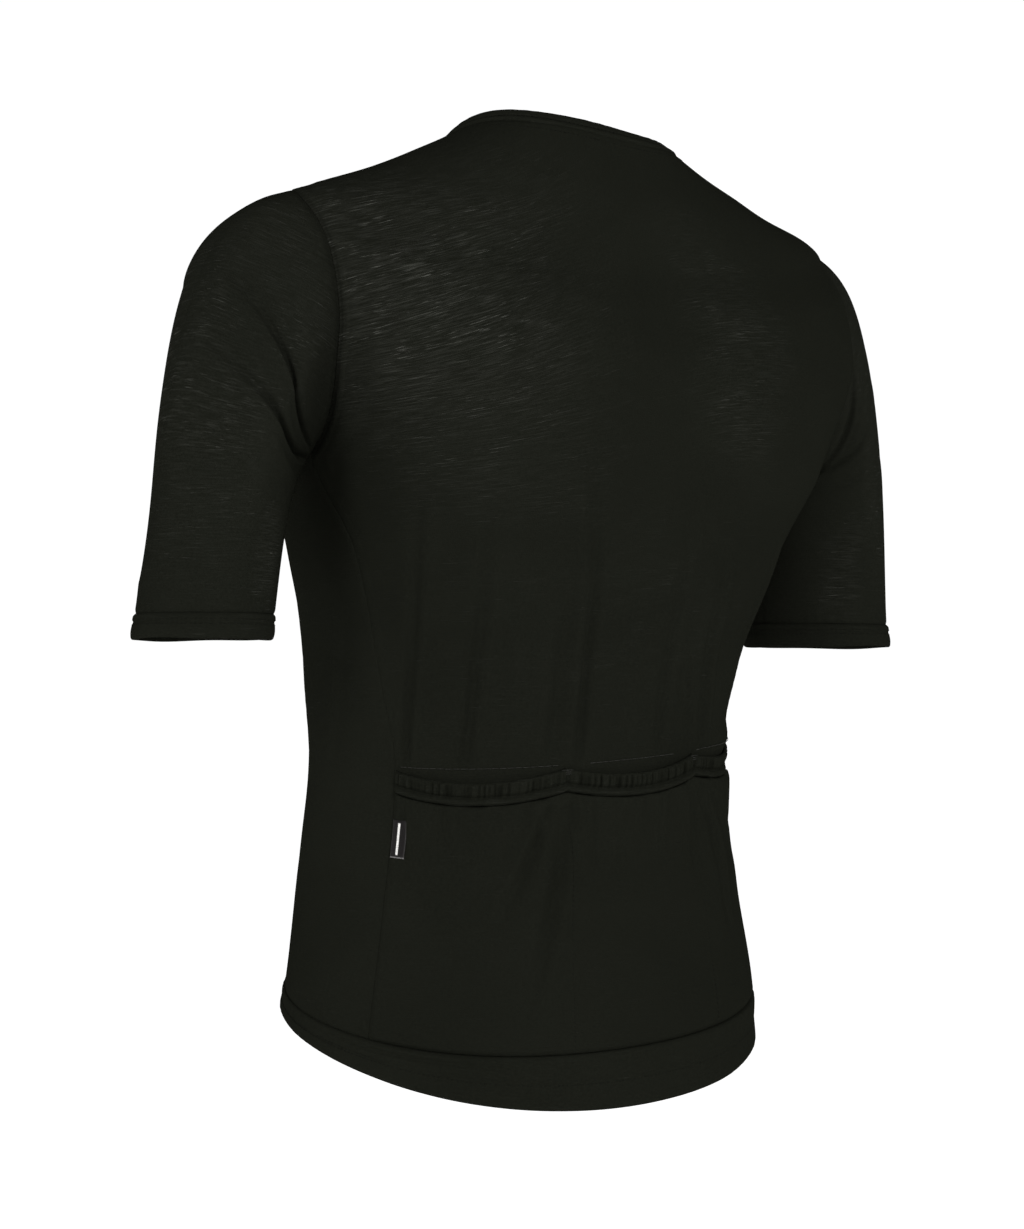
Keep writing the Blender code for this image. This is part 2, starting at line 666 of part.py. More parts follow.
main()
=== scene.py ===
"""The cloth of a worn short-sleeved cycling jersey: thin knit shells with their folds, seams,
stitching and gathered pockets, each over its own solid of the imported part.

Metres, +Z up. The front faces -Y and the wearer's left is +X. The tables are in millimetres
and degrees. Around the body the angle u is 0 at the centre back, 90 at the wearer's left
side, 180 at the centre front and -90 at the wearer's right side. Up the body v runs from 0
at the hem's edge to 1 at the neckline. Around an armhole or a sleeve, turn is 0 on top, 90
behind, 180 underneath and 270 before, and s runs from 0 at the armhole to 1 at the cuff.
"""

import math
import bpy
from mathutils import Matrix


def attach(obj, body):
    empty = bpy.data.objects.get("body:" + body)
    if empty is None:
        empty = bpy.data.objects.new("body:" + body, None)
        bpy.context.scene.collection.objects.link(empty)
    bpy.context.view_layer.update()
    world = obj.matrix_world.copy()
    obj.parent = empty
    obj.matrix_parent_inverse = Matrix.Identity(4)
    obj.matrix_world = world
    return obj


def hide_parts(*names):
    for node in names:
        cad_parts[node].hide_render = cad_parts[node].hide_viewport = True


bl_info = {
    "name": "Cycling Jersey Cloth",
    "version": (1, 0, 0),
    "blender": (4, 5, 0),
    "location": "View3D > Sidebar > Jersey",
    "description": "Builds the knit shells, seams and stitching of a worn cycling jersey",
    "category": "Object",
}

import bpy
import numpy as np
from bpy.props import FloatProperty, FloatVectorProperty, PointerProperty
from mathutils import Vector

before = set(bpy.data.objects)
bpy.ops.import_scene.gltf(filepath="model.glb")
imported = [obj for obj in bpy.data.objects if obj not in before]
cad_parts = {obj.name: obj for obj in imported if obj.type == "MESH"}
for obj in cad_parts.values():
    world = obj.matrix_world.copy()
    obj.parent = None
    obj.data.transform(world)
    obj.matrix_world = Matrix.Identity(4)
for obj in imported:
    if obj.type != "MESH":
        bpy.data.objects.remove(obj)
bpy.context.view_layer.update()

# ---------------------------------------------------------------- the jersey's shape
MM = 0.001
LAYER_GAP = 0.3  # between a piece and the one that it lies on
EDGE_GAP = 0.04  # between the turned-in edges of two shells at a seam

# One row for each ring of the body, from the hem up. A ring is z_back behind, z_side at both
# sides and z_front before, and tilt lowers it at the wearer's left. square is 0 for an
# ellipse and grows with squarer corners. seam_u is the angle of the side seam. back_lines and
# front_lines are where the outermost grid lines run, so that they pass the armhole smoothly.
STATION_COLUMNS = (
    "name", "v", "z_back", "z_side", "z_front", "tilt",
    "half_width", "back_depth", "front_depth", "centre_y", "square", "seam_u",
    "back_lines", "front_lines",
)
STATIONS = (
    ("hem_edge", 0, -596, -548, -513, 12, 167, 125, 123, 3, 0.02, 71.5, 71, 71),
    ("hem_seam", 0.055, -559, -529, -499, 14, 164, 124, 122, 3, 0.02, 71.5, 71, 71),
    ("hip", 0.18, -482, -458, -434, 13, 153, 118, 118, 1, 0.02, 70, 69, 70),
    ("pocket_line", 0.345, -378, -366, -344, 11, 145, 110, 111, 1, 0.02, 68, 67, 68),
    ("waist", 0.43, -328, -318, -303, 9, 150, 114, 112, 5, 0.02, 72.5, 71, 74),
    ("midriff", 0.56, -250, -241, -236, 5, 172, 127, 120, 18, 0.03, 78, 75, 85),
    ("armpit", 0.665, -192, -185, -183, 2, 187, 134, 121, 25, 0.06, 90, 77, 98),
    ("chest", 0.78, -130, -117, -126, 0, 217, 132, 120, 30, 0.06, 90, 75, 108),
    ("blade", 0.85, -96, -64, -107, 0, 224, 120, 117, 32, 0.045, 90, 78, 103),
    ("shoulder_point", 0.9, -68, -34, -92, -1, 222, 104, 110, 33, 0.01, 90, 83, 97),
    ("yoke", 0.955, -21, -10, -78, -3, 154, 88, 95, 35, -0.01, 90, 88, 91),
    ("neckline", 1, 20, 10, -62, -7, 91, 73, 80, 34, 0, 90, 90, 90),
)
ARMPIT_V = 0.665
SHOULDER_V = 0.917
HEM_SEAM_V = 0.055
POCKET_LINE_V = 0.345
ARMHOLE_BACK = 21.0  # how far the armhole cuts into the back, in degrees of u
ARMHOLE_FRONT = 25.0
ARMHOLE_HIGH = 0.35  # how far the cut's deepest point lies above the armhole's middle
ARMPIT_POINT = 0.6  # 0 rounds the armhole's low end, 1 brings it to a point

# The sleeve leaves the armhole in a direction and ends along the arm. One row for each
# quarter of the armhole: turn is 0 on top, 90 behind, 180 in the armpit and 270 before.
SLEEVE_COLUMNS = ("turn", "out", "back", "down", "start_pull", "end_pull")
SLEEVE_ROWS = (
    (0, 1.1, -0.06, 0.14, 258, 280),
    (90, 0.9, 0.05, 0.55, 135, 190),
    (180, 0.85, 0, 0.55, 70, 110),
    (270, 1, -0.24, 0.32, 176, 208),
)
ARM_OUT = 0.12  # how far the sleeve's end leans away from the body, for each unit down
CUFF_X = 259.0
CUFF_Y = 14.0
CUFF_SEAM_Z = -287.0
CUFF_EDGE_Z = -303.0
CUFF_LONG = 50.5  # half the cuff's long and short widths
CUFF_SHORT = 42.5
CUFF_TURN = 45.0  # the long width points this far behind straight out

MM_PER_DEGREE_BODY = 2.5
BODY_LENGTH = 640.0
BODY_SCALE = (MM_PER_DEGREE_BODY, BODY_LENGTH)
SLEEVE_LENGTH = 250.0
SLEEVE_SCALE = (0.9, SLEEVE_LENGTH)  # millimetres for a degree of turn and for all of s

# Soft folds as ridges (height above 0) or troughs, from one end to the other: u and v, or turn
# and s, of both ends, then bow, width and height. bow is how far the middle of a fold lies off
# the straight line, to the side that rises.
BODY_FOLDS = (
    (65, 0.365, 58, 0.62, 0, 13, 2.4),
    (45.5, 0.365, 41, 0.62, 0, 13, 2.4),
    (31, 0.38, 29, 0.56, 0, 13, 1.6),
    (14.5, 0.36, 18, 0.66, 0, 12, 3.4),
    (-9, 0.355, -4, 0.63, 0, 14, 2.6),
    (-29.5, 0.36, -14, 0.58, 0, 13, 2.2),
    (-50, 0.38, -42, 0.58, 0, 15, 1.8),
    (31, 0.16, 19.5, 0.295, 0, 12, 2.4),
    (12, 0.19, 18, 0.3, 0, 10, 1.4),
    (-36, 0.16, -25, 0.3, 0, 13, 2.3),
    (152, 0.36, 161, 0.6, 0, 18, 2.2),
    (-149, 0.38, -163, 0.62, 0, 18, 2),
    (118, 0.34, 104, 0.58, 0, 17, 2.2),
    (-116, 0.36, -106, 0.58, 0, 17, 2.2),
    (158, 0.1, 150, 0.3, 0, 18, 1.8),
)
LEFT_SLEEVE_FOLDS = (
    (154, 0.15, 33, 0.3, 23, 11, -4.5),
    (160, 0.18, 33, 0.43, 30, 11, -3.8),
    (208, 0.12, 290, 0.46, 8, 12, -3.5),
)
RIGHT_SLEEVE_FOLDS = (
    (78, 0.05, 150, 0.36, 14, 11, -2),
    (156, 0.16, 44, 0.36, 22, 12, -1.2),
    (206, 0.12, 286, 0.44, 6, 12, -3.5),
)

# The three pockets' mouths: u at the left and the right end, how far the front edge hangs
# below the line on the back, and how far it stands out. Between them it is sewn to the back.
POCKETS = (
    (68, 18, 9.5, 2.6),
    (18, -24, 9, 2.4),
    (-24, -68, 8.5, 0.6),
)
POCKET_SEWN_DROP = 2.0  # the edge's drop where it is sewn down
GATHERS = 118  # fine ruffles in the casing over the whole width
WIDE_GATHERS = 57
GATHER_DRIFT = ((5.3, 0.7), (13.1, 0.45))  # waves that make their spacing uneven
WIDE_DRIFT = ((4.1, 0.8), (9.7, 0.5))
GATHER_SHIFT = 0.0031  # how far a ruffle leans from the casing's top to its foot

# Narrow creases on top of the soft folds: both ends, bow, width, height, beside, shift and
# peak. A crease runs from its low to its high end on a line with a bow, has a trough or ridge
# of that width and height in millimetres, and another of height beside, shift millimetres to
# the side that rises. It is strongest at peak, a share of its length.
BODY_CREASES = (
    (64.5, 0.345, 57.5, 0.62, 0, 4.2, -3.8, 2.5, -7, 0.24),
    (45.5, 0.345, 40, 0.62, 0, 4.2, -3.6, 2.5, -7, 0.26),
    (30.5, 0.4, 28.5, 0.56, 0, 4.6, -1.8, 1.4, 7, 0.4),
    (13.5, 0.345, 17, 0.68, 0, 3.8, -4.6, 3, -7, 0.28),
    (22, 0.35, 21.5, 0.52, 0, 4, -2.4, 1.6, 6, 0.28),
    (1, 0.35, 5.5, 0.54, 3, 4.4, -1.6, 1.2, 6, 0.32),
    (-11, 0.345, -4.5, 0.64, 0, 4, -3.4, 2.2, 6, 0.28),
    (-30.5, 0.345, -15.5, 0.59, 0, 4, -4.2, 2.6, 7, 0.26),
    (-23, 0.35, -13, 0.47, 0, 3.6, -2.4, 1.8, 6, 0.3),
    (-52, 0.35, -43, 0.59, 0, 4.6, -3, 2, 7, 0.32),
    (22.5, 0.305, 38, 0.18, -2, 3.8, -3.4, 2.6, 7, 0.26),
    (18.6, 0.302, 30, 0.08, -3, 4.4, -3.6, 2.8, -8, 0.3),
    (16.8, 0.306, 15.5, 0.23, 0, 3.4, -2.2, 1.8, 6, 0.28),
    (-25.6, 0.308, -37, 0.14, 2, 4, -3.2, 2.4, 7, 0.28),
    (-23.2, 0.302, -20.5, 0.22, 0, 3.4, -2, 1.4, 5, 0.3),
    (-27.4, 0.306, -47, 0.22, 2, 3.8, -2.4, 1.8, 6, 0.3),
    (52, 0.303, 47, 0.225, 0, 3.7, -1.4, 1, 5, 0.35),
    (65, 0.303, 60, 0.215, 0, 3.7, -1.4, 1, 5, 0.35),
    (1, 0.3, 4, 0.22, 0, 3.7, -1, 0.8, 5, 0.35),
    (-62, 0.303, -57, 0.2, 0, 3.7, -1.7, 1, 5, 0.35),
    (-67, 0.351, -35, 0.347, 0, 8, 3.2, 0, 9, 0.5),
    (-68, 0.317, -34, 0.315, 0, 8, -3.4, 0, 9, 0.5),
    (-62, 0.236, -40, 0.24, 0, 16, -3.6, 0, 9, 0.5),
    (84, 0.652, 52, 0.735, 6, 6, -1.1, 1, 9, 0.22),
    (86, 0.64, 60, 0.655, 5, 7, -0.8, 0.6, 9, 0.25),
    (-84, 0.652, -52, 0.735, 6, 6, -1.1, 1, 9, 0.22),
    (-86, 0.64, -60, 0.655, 5, 7, -0.8, 0.6, 9, 0.25),
    (98, 0.652, 132, 0.765, 5, 6, -1.8, 1.3, 9, 0.25),
    (100, 0.64, 141, 0.7, 6, 7, -1.4, 1.1, 10, 0.27),
    (-98, 0.652, -131, 0.755, 5, 6, -1.7, 1.3, 9, 0.25),
    (-100, 0.642, -143, 0.69, 6, 7, -1.4, 1.1, 10, 0.27),
    (118, 0.33, 104, 0.59, 0, 6, -1.4, 1, 8, 0.4),
    (137, 0.35, 143, 0.57, 0, 6, -1.1, 0.8, 8, 0.45),
    (156, 0.34, 164, 0.6, 0, 6, -1.4, 1, 8, 0.45),
    (-116, 0.34, -105, 0.6, 0, 6, -1.4, 1, 8, 0.4),
    (-136, 0.33, -146, 0.56, 0, 6, -1.3, 0.8, 8, 0.45),
    (-154, 0.36, -166, 0.62, 0, 6, -1.3, 0.8, 8, 0.45),
    (128, 0.12, 122, 0.3, 0, 7, -1, 0.8, 9, 0.4),
    (-125, 0.13, -131, 0.31, 0, 7, -1, 0.8, 9, 0.4),
    (95, 0.33, 84, 0.52, 0, 6, -1, 0.8, 8, 0.4),
    (-95, 0.33, -84, 0.52, 0, 6, -1, 0.8, 8, 0.4),
)
LEFT_SLEEVE_CREASES = (
    (158, 0.12, 26, 0.312, 23, 2.6, -4.6, 2.3, 6, 0.46),
    (164, 0.14, 18, 0.462, 30, 2.6, -4.6, 2.3, 6, 0.46),
    (150, 0.3, 60, 0.48, 14, 5, -0.7, 0.5, 8, 0.35),
    (120, 0.5, 40, 0.59, 6, 6, -0.4, 0.3, 8, 0.5),
    (206, 0.12, 292, 0.46, 8, 4.5, -1.8, 1, 8, 0.4),
    (212, 0.24, 300, 0.56, 8, 5.5, -0.9, 0.6, 8, 0.4),
    (330, 0.62, 250, 0.72, 4, 6, -0.5, 0.4, 8, 0.5),
    (322, 0.3, 322, 0.93, 0, 24, -4.4, 0, 8, 0.45),
    (322, 0.08, 322, 0.3, 0, 20, 3.6, 0, 8, 0.55),
)
RIGHT_SLEEVE_CREASES = (
    (78, 0.04, 152, 0.34, 14, 3, -1.6, 0.9, 7, 0.45),
    (160, 0.15, 44, 0.37, 22, 3.2, -0.9, 0.6, 7, 0.4),
    (148, 0.31, 62, 0.5, 12, 5, -0.6, 0.5, 8, 0.35),
    (204, 0.12, 288, 0.44, 6, 4.5, -1.7, 1, 8, 0.4),
    (210, 0.25, 302, 0.54, 8, 5.5, -0.8, 0.6, 8, 0.4),
    (30, 0.56, 110, 0.64, 4, 6, -0.4, 0.3, 8, 0.5),
)

# Slow unevenness of the cloth: waves through space, by their lengths along x, y and z, their
# phase and height.
CLOTH_WAVES = (
    (83, 140, 310, 0.4, 0.26),
    (-118, 96, 205, 2.1, 0.22),
    (57, -74, 260, 4, 0.16),
    (150, 61, -88, 1.2, 0.12),
    (-46, 52, 122, 5.1, 0.09),
)

# Where the slubs of the yarn show most: a patch's middle and reach in u and v, and how much.
SLUB_PATCHES = (
    (50, 0.815, 30, 0.13, 0.85),
    (42, 0.68, 26, 0.08, 0.34),
    (-13, 0.825, 9, 0.11, 0.34),
    (-14, 0.73, 8, 0.065, 0.3),
    (-74, 0.78, 16, 0.12, 0.6),
    (12, 0.48, 60, 0.12, 0.07),
    (40, 0.22, 40, 0.12, 0.03),
    (132, 0.8, 30, 0.14, 0.85),
    (-136, 0.79, 30, 0.14, 0.8),
    (165, 0.45, 50, 0.12, 0.25),
    (-140, 0.3, 50, 0.12, 0.2),
)
SLEEVE_SLUB_PATCHES = (
    (55, 0.2, 48, 0.2, 0.34),
    (40, 0.56, 50, 0.34, 0.3),
    (112, 0.8, 18, 0.16, 0.55),
    (300, 0.5, 70, 0.35, 0.45),
)
DROOP = 0.37  # how far the knit's courses fall for each unit toward the wearer's left shoulder
DROOP_FULL_Z = -110.0  # above here the droop is whole
DROOP_NONE_Z = -330.0
DROOP_MIDDLE_X = -35.0
DROOP_SOFT_X = 40.0
LEAN_FULL_Z = -90.0
LEAN_NONE_Z = -170.0
CAP_DROOP = 0.65  # the same over a sleeve's cap
CAP_FULL_Z = -70.0
CAP_NONE_Z = -230.0
SLEEVE_MIDDLE_X = 235.0

# A seam: its edges turn in by a groove, and an allowance inside lifts the cloth beside it.
SEAM_REACH = 1.4
ARMHOLE_REACH = 2.5
ARMHOLE_GROOVE = 1.3  # how much deeper than other seams
SOFT_SEAM_GROOVE = 0.2  # of the side and shoulder seams, beside the armhole's 1.3
SOFT_SEAM_ALLOWANCE = 0.4
BODY_CALM = 9.0  # no crease reaches the armhole's seam closer than about this
SLEEVE_CALM = 6.0
ALLOWANCE_WIDTH = 5.6
PUCKER_LENGTH = 8.5
PUCKER_HEIGHT = 0.22
PUCKER_REACH = 7.0
PUCKER_SHIFT_LENGTHS = 4.3  # their spacing changes over this many of them
PUCKER_SWELL_LENGTHS = 9.7  # and their height over this many

# Short soft folds that hang from the casing's foot: the first one's u, the step between two,
# how far they are off it, and their width, longest length and height.
HANG_FIRST_U = 63.0
HANG_STEP_U = 4.7
HANG_COUNT = 28
HANG_UNEVEN_U = 1.5
HANG_WIDTH = 2.6
HANG_LENGTH = 40.0
HANG_HEIGHT = 3.0

# Profiles of the doubled bands: t from the seam to the free edge, how far out from the cloth's
# face on the outside, and how far in on the inside. A lip is the allowance behind the seam.
HEM_LIP = ((-0.005, 1.95), (-0.12, 1.95), (-0.135, 2.2), (-0.12, 2.6), (-0.02, 2.5))
HEM_PROFILE = (
    (0, -0.5, 2.3),
    (0.025, 0.5, 2.1),
    (0.07, 1, 1.9),
    (0.18, 1.1, 1.5),
    (0.4, 0.9, 1.3),
    (0.5, 0.6, 1.2),
    (0.56, 0.7, 1.2),
    (0.8, 0.9, 1.2),
    (0.94, 0.8, 1.1),
    (0.985, 0.5, 0.9),
    (1, -0.1, 0.1),
)
CUFF_LIP = ((-0.01, 1.95), (-0.22, 1.95), (-0.25, 2.2), (-0.22, 2.6), (-0.03, 2.5))
CUFF_PROFILE = (
    (0, -0.6, 2.3),
    (0.06, 0.5, 2.1),
    (0.14, 1.1, 1.9),
    (0.25, 1.2, 1.6),
    (0.33, 0.7, 1.5),
    (0.42, 1.1, 1.4),
    (0.7, 1.5, 1.3),
    (0.88, 1.2, 1.2),
    (0.97, 0.6, 1),
    (1, -0.2, 0.2),
)
NECK_LIP = ((-0.01, 1.95), (-0.26, 2.1), (-0.30, 2.4), (-0.26, 2.8), (-0.03, 2.6))
NECK_PROFILE = (
    (0, -0.5, 2.3),
    (0.06, 0.5, 2.1),
    (0.15, 1, 1.9),
    (0.32, 0.9, 1.5),
    (0.4, 0.5, 1.4),
    (0.48, 0.9, 1.4),
    (0.8, 0.9, 1.2),
    (0.95, 0.5, 1),
    (1, -0.2, 0.2),
)
HEM_STITCH_T = 0.50
HEM_FOLD_U = 56.0  # here the hem's cloth lies in two folds along its seam
HEM_FOLD_REACH_U = 20.0
HEM_FOLDS = ((3.6, 2, 1), (7.4, 1.5, -1.1), (10.6, 2, 0.7))  # place below it, width, height
CUFF_STITCH_T = 0.34
NECK_STITCH_T = 0.40
NECK_GIRTH = 470.0
NECK_DEPTH = 11.0
NECK_ROW_BELOW = 3.0  # the row of stitches on the cloth below the neckband
STITCH_PITCH = 3.1  # from one dent of a stitched line to the next
RUFFLE_PITCH = 9.3  # the bands' faint ruffles, and the waves that make them uneven
SLOW_PITCH = 47.0
HEM_SLOW_PITCH = 61.0
HEM_PUCKER_REACH = 9.0
HEM_BULGE_T = 0.35  # over the pockets' foot the hem stands out to about here
HEM_BULGE_END_U = 6.0
INNER_RELIEF = 0.3  # the share of a band's relief that its inside shows
THREAD_SUNK = 0.12  # how far a thread on a band sinks in

# Grids: how many quads each piece has along its rows and up its columns.
BODY_COLUMNS = 168
FRONT_COLUMNS = 132
LOWER_ROWS = 104
ARMHOLE_ROWS = 78
YOKE_ROWS = 48
FRONT_SHARE = 0.8  # the front has this share of the rows
SLEEVE_COLUMNS_COUNT = 208
SLEEVE_ROWS_COUNT = 164
POCKET_COLUMNS_COUNT = 168
POCKET_ROWS_COUNT = 92
CASING_STEPS = 6  # columns in each ruffle
CASING_ROWS_COUNT = 30
LABEL_POINTS = (25, 41)
BAND_COLUMNS_COUNT = 420
CUFF_COLUMNS_COUNT = 210
NECK_COLUMNS_COUNT = 260
CUFF_ROWS_COUNT = 22
HEM_ROWS_COUNT = 30
NECK_ROWS_COUNT = 24
LONG_LINE_POINTS = 1441  # in the lines that stitches follow
LINE_POINTS = 721
SHORT_LINE_POINTS = 120

# How much closer together the rows or columns are at the low and the high end, and how far in.
ACROSS_SPREAD = (5, 5, 0.025)
HEM_END_SPREAD = (6, 1.5, 0.03)
NECK_END_SPREAD = (1.2, 6, 0.06)
SLEEVE_SPREAD = (4, 4, 0.03)
POCKET_SPREAD = (4, 3, 0.03)
CASING_SPREAD = (2, 2.5, 0.08)
BAND_SPREAD = (3, 5, 0.06)

# The pockets and the label. The raised lines on the back run from one u to another.
POCKET_LINES = ((67.0, 18.6), (12.0, -17.0), (-25.0, -66.0))
POCKET_LINE_HEIGHT = 0.7
POCKET_LINE_WIDTH = 0.9
POCKET_SETTLE = 34.0  # the pocket layer lies down about this far below its mouth
POCKET_HELD = 5.0  # and thins out this close to its seams
DIVIDERS = (17.6, -24.4)
DIVIDER_DEPTH = 0.32
DIVIDER_WIDTH = 1.2
DIVIDER_BULGE = 0.14  # beside the groove
DIVIDER_BULGE_WIDTH = 4.5
DIVIDER_THREAD_SUNK = 0.18
TACK_ROWS = 3  # rows of stitches in a bar tack
TACK_HALF_U = 1.9
TACK_TOP = 0.2
TACK_STEP = 1.3
TACK_STITCH = 8.6
HEM_BACK_U = 70.0
CASING_DEPTH = 15.5
SHADED_CHANNEL_DEPTH = 9.2  # where shade is painted into the channel over the casing's ridge
SHADED_CHANNEL_WIDTH = 0.8
PINCH_DEPTH = 0.9  # at a divider, between two humps
PINCH_WIDTH = 1.9
HUMP_HEIGHT = 0.8
HUMP_OFF = 4.6
HUMP_WIDTH = 2.1
CASING_PROFILE = (  # below the mouth's edge, out, and how far gathered
    (0, -0.7, 0.15),
    (0.5, 0.1, 0.4),
    (1.4, 0.4, 0.6),
    (2.6, 0.2, 0.8),
    (5, -0.1, 1),
    (7.4, -0.3, 1),
    (8.8, -0.8, 0.95),
    (9.8, -0.6, 0.55),
    (10.8, 0.9, 0.28),
    (12, 2.1, 0.16),
    (13.4, 2.5, 0.12),
    (14.7, 1.5, 0.06),
    (15.5, -0.9, 0),
)
LABEL_WIDTH = 11.5
LABEL_HEIGHT = 26.0
LABEL_WALL = 0.7
LABEL_SIDE_CURL = 0.35
LABEL_END_CURL = 0.25
LABEL_TOP_BELOW_LINE = 36.0  # from the pocket line to the label's top
LABEL_FROM_SEAM = 1.0
NECK_TOP = {  # the neckband's free edge
    "z_back": 29.0, "z_side": 16.5, "z_front": -51.0, "tilt": -8.0,
    "half_width": 84.0, "back_depth": 64.0, "front_depth": 71.0, "centre_y": 33.0,
    "square": 0.0,
}

# Noise in the knit, each with how many streaks there are to a metre along the courses and up
# them, its detail, and the values between which it goes from none to all.
KNIT_NOISE = (
    (60, 1200, 2, 0.40, 0.68),  # a haze of fine slubs
    (46, 900, 3, 0.52, 0.70),  # the slubs
    (64, 1150, 2.5, 0.59, 0.72),  # the brightest slubs
    (13, 26, 2, 0.34, 0.66),  # where slubs cluster
    (21, 52, 2, 0.42, 0.66),  # where the brightest ones do
    (420, 1300, 2, 0.28, 0.72),  # fine unevenness of the yarn
    (9, 13, 2, 0.25, 0.75),  # broad unevenness of the cloth
)

# The stage. Lights are disks turned toward the garment's middle, each with its azimuth,
# elevation, distance, size and power.
FLOOR_Z = -1.40
FLOOR_RADIUS = 400.0
FLOOR_SIDES = 96
WORLD_SHADE = (0.15, 0.70, 1.03, 0.10)  # from and to this height, from and to this strength
LIGHT_CENTRE = (0.0, 0.0, -0.3)
LIGHTS = (
    ("soft_key", 106, 14, 2.6, 0.7, 38),
    ("soft_back", 160, 28, 2.6, 0.9, 66),
    ("soft_side", 54, 4, 2.8, 1.2, 44),
    ("soft_fill", 224, 10, 2.8, 1.1, 52),
    ("soft_front", -35, 16, 2.8, 1.6, 80),
)
FLOOR_GLOW = 0.80  # the sweep is lit from behind, so it looks as white as the far wall
CAMERA_AZIMUTH = 141.0
CAMERA_FAR = 2.4
CAMERA_ASIDE = 0.0035
CAMERA_Z = -0.34
CAMERA_PITCH = 1.353
CAMERA_SENSOR = 36.0
CAMERA_LENS = CAMERA_SENSOR * 3620.0 / 1229.0


# ---------------------------------------------------------------- small tools
def size(name):
    """One of the sizes that a user may change, in millimetres."""
    return getattr(bpy.context.scene.jersey_sizes, name) / MM


def bell(x):
    """A bell round 0: e to the power of minus x squared."""
    return np.exp(-(x**2))


def ease(t):
    """A smooth step: 0 up to 0 and 1 from 1 on, 3 t squared less 2 t cubed between."""
    t = np.clip(t, 0.0, 1.0)
    return t * t * (3.0 - 2.0 * t)


def wave(turns, phase=0.0):
    """A sine wave that goes up and down once for each turn."""
    return np.sin(2.0 * np.pi * turns + phase)


def sin_cos(degrees):
    """The sine and the cosine of angles in degrees."""
    return np.sin(np.radians(degrees)), np.cos(np.radians(degrees))


def signed(u):
    """Angles brought between -180 and 180."""
    return (u + 180.0) % 360.0 - 180.0


def unit(vectors):
    """Vectors scaled to length 1."""
    return vectors / np.linalg.norm(vectors, axis=-1, keepdims=True)


def same_shape(*values):
    """Numbers and arrays spread to arrays of one shape."""
    return np.broadcast_arrays(*(np.asarray(value, float) for value in values))


def running(steps, axis=0):
    """The running sum of steps along an axis, from 0 on."""
    total = np.cumsum(steps, axis=axis)
    return np.concatenate([0.0 * total.take([0], axis=axis), total], axis=axis)


def lengths(points, axis=0):
    """How long each step is from one point to the next along an axis."""
    return np.linalg.norm(np.diff(points, axis=axis), axis=-1)


def spread(steps, low, high, reach):
    """Values from 0 to 1 in steps, which are low times closer together at the low end and
    high times at the high end, within that reach: the running sum of that density, turned
    round."""
    x = np.linspace(0.0, 1.0, 2001)
    density = 1.0 + (low - 1.0) * np.exp(-x / reach) + (high - 1.0) * np.exp((x - 1.0) / reach)
    total = running((density[1:] + density[:-1]) / 2.0)
    return np.interp(np.linspace(0.0, 1.0, steps + 1), total / total[-1], x)


def cubic(t):
    """The weights of a cubic piece's start, its slope there, its end and the slope there."""
    return 2 * t**3 - 3 * t**2 + 1, t**3 - 2 * t**2 + t, -2 * t**3 + 3 * t**2, t**3 - t**2


def smooth_column(at, xs, ys):
    """A smooth curve through the points (xs, ys) that never swings past them: cubic pieces
    whose slope at a point is the harmonic mean of the slopes on both sides, or 0 at a turn."""
    at, xs, ys = (np.asarray(values, float) for values in (at, xs, ys))
    step = np.diff(xs)
    slope = np.diff(ys) / step
    same = slope[:-1] * slope[1:] > 0
    before, after = 2.0 * step[1:] + step[:-1], step[1:] + 2.0 * step[:-1]
    low, high = np.where(same, slope[:-1], 1.0), np.where(same, slope[1:], 1.0)
    mean = (before + after) / (before / low + after / high)
    inner = np.concatenate([slope[:1], np.where(same, mean, 0.0), slope[-1:]])
    k = np.clip(np.searchsorted(xs, at, side="right") - 1, 0, len(xs) - 2)
    start, start_slope, end, end_slope = cubic((at - xs[k]) / step[k])
    return (
        start * ys[k] + start_slope * step[k] * inner[k]
        + end * ys[k + 1] + end_slope * step[k] * inner[k + 1]
    )


def station(column, v):
    """One column of the stations table at v."""
    k = STATION_COLUMNS.index(column)
    return smooth_column(v, [row[1] for row in STATIONS], [row[k] for row in STATIONS])


def off_line(x, y, ends, scale):
    """How far along a straight line x, y lies, from 0 to 1, and how far off it, to the side
    that rises."""
    start = np.array(ends[:2]) * scale
    along = np.array(ends[2:]) * scale - start
    length = np.hypot(*along)
    along = along / length
    dx = x * scale[0] - start[0]
    dy = y * scale[1] - start[1]
    t = (dx * along[0] + dy * along[1]) / length
    return t, (dy * along[0] - dx * along[1]) * (1.0 if along[0] > 0.0 else -1.0)


def folds(x, y, table, scale):
    """The height of soft folds at x, y: each row is a bowed line with a bell across it
    that fades to nothing at both ends."""
    total = np.zeros(np.broadcast(x, y).shape)
    for *ends, bow, width, height in table:
        t, off = off_line(x, y, ends, scale)
        fade = np.clip(t * (1.0 - t) * 4.0, 0.0, 1.0)
        total = total + height * bell((off - bow * fade) / width) * fade**1.5
    return total


def creases(x, y, table, scale):
    """The height of narrow creases at x, y: across a bowed line a bell and a lower, wider one
    beside it, both swelling and fading along the line as a half wave skewed to its peak."""
    total = np.zeros(np.broadcast(x, y).shape)
    for *ends, bow, width, height, beside, shift, peak in table:
        t, off = off_line(x, y, ends, scale)
        t = np.clip(t, 0.0, 1.0)
        off = off - bow * 4.0 * t * (1.0 - t)
        fade = np.sin(np.pi * t ** (math.log(0.5) / math.log(peak))) ** 0.7
        side = beside * bell((off - shift) / (1.4 * width))
        total = total + fade * (height * bell(off / width) + side)
    return total


def surface_normal(point, a, b, step_a, step_b):
    """The unit normal of the surface point(a, b), by differences, b a step inside 0 and 1."""
    b = np.clip(b, step_b, 1.0 - step_b)
    da = point(a + step_a, b) - point(a - step_a, b)
    db = point(a, b + step_b) - point(a, b - step_b)
    return unit(np.cross(da, db))


